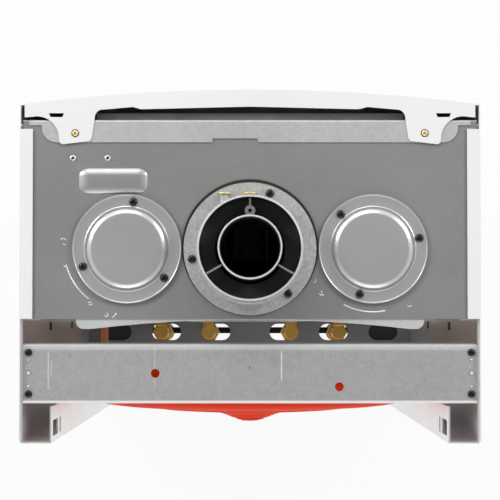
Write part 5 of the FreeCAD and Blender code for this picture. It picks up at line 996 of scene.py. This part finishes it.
# Dark washers under the two casing screws.
low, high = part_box("casing_screws")
washer = turned("washer", [
    (2.2, 0), (3.7, 0), (3.75, 0.12), (3.6, 0.22), (2.2, 0.22), (2.2, 0),
], (0, 0, 0), steps=40)
spots = [(x, (low[1] + high[1]) / 2, CASING_TOP, 0) for x in (low[0] + 0.003, high[0] - 0.003)]
fixed(copies(washer, spots, "casing_washers"), finishes["black_rubber"], None, "frame", "black_rubber")

# Embossed beads round the intake covers, and small dings on the plate, in a near-white sheet: painted highlights on
# them.
marks = [
    bead("bead_right", (INTAKE_SIDE, FLUE[1]), 60, 16, 53, 0.7),
    bead("bead_left", (-INTAKE_SIDE, FLUE[1]), 60, 62, 101, 0.7),
]
for x, y, radius, start, end in (
    (0.178602, -0.193196, 2.4, 200, 330), (0.176886, -0.191003, 1.6, 20, 120), (0.152188, -0.133789, 1.8, 30, 170),
    (0.135882, -0.127591, 9, 120, 160), (0.137122, -0.122728, 1.7, 20, 250), (-0.060837, -0.155340, 2.2, 100, 210),
    (-0.067226, -0.143420, 1.6, 30, 260), (-0.068656, -0.139987, 1.5, 200, 330), (-0.152093, -0.132454, 2, 20, 160),
    (0.176504, -0.169834, 1.2, 0, 220), (0.152951, -0.135220, 1.2, 0, 200),
):
    marks.append(bead("ding", (x, y), radius, start, end, 0.42))
fixed(joined(*marks), painted_light_sheet, None, "frame", "grey_plate")

# Floor, light and camera.
bpy.ops.object.select_all(action="DESELECT")
bpy.ops.mesh.primitive_plane_add(size=14, location=(0, 0, cad_box[0][2] - 0.0005))
floor = bpy.context.object
floor.name = "studio_floor"
ground = Finish("studio_floor")
glow = ground.node("ShaderNodeEmission", None, {"Color": (1, 1, 1, 1), "Strength": 1})
plain = ground.node("ShaderNodeBsdfDiffuse", None, {"Color": (0.82, 0.82, 0.82, 1)})
seen = ground.ray("Camera", "Glossy", "Transmission") * 0.93
surface = ground.node("ShaderNodeMixShader", None, {0: seen, 1: plain, 2: glow})
ground.feed(ground.tree.nodes["Material Output"].inputs[0], surface)
floor.data.materials.append(ground.material)

# White surroundings, seen so by the eye and in gloss, with a dimmer ceiling above the object.
studio = bpy.data.worlds.new("studio")
bpy.context.scene.world = studio
room = Finish("studio", studio)
direction = room.node("ShaderNodeTexCoord", output="Generated")
upward = room.node("ShaderNodeSeparateXYZ", None, {"Vector": direction}, "Z")
mirrored = room.between(upward, 0.5, 0.93, 1, 0.36)
gloss = room.ray("Glossy", "Transmission")
level = gloss * mirrored + (1 - gloss) * 0.38
eye = room.ray("Camera")
backdrop = studio.node_tree.nodes["Background"]
backdrop.inputs["Color"].default_value = (1, 1, 1, 1)
room.feed(backdrop.inputs["Strength"], eye + (1 - eye) * level)

middle = (0, -0.17, 0.6)
lamp("left_softbox", (1.8, -1.3, 2.1), middle, 0.55, 0.5, 24)
lamp("right_softbox", (-1.8, -1.3, 2.1), middle, 0.55, 0.5, 21)
lamp("front_softbox", (0.3, -2.4, 2.3), middle, 1.6, 0.9, 20)
lamp("back_softbox", (0, 2.0, 1.9), middle, 2.0, 0.8, 14)

view = bpy.data.cameras.new("photo_view")
view.lens = 136
view.sensor_width = 36
camera = bpy.data.objects.new("photo_view", view)
bpy.context.scene.collection.objects.link(camera)
camera.location = (0, -0.1233, 2.6)
camera.rotation_euler = (math.radians(1.94), 0, math.pi)
bpy.context.scene.camera = camera
bpy.context.scene.view_settings.view_transform = "Standard"
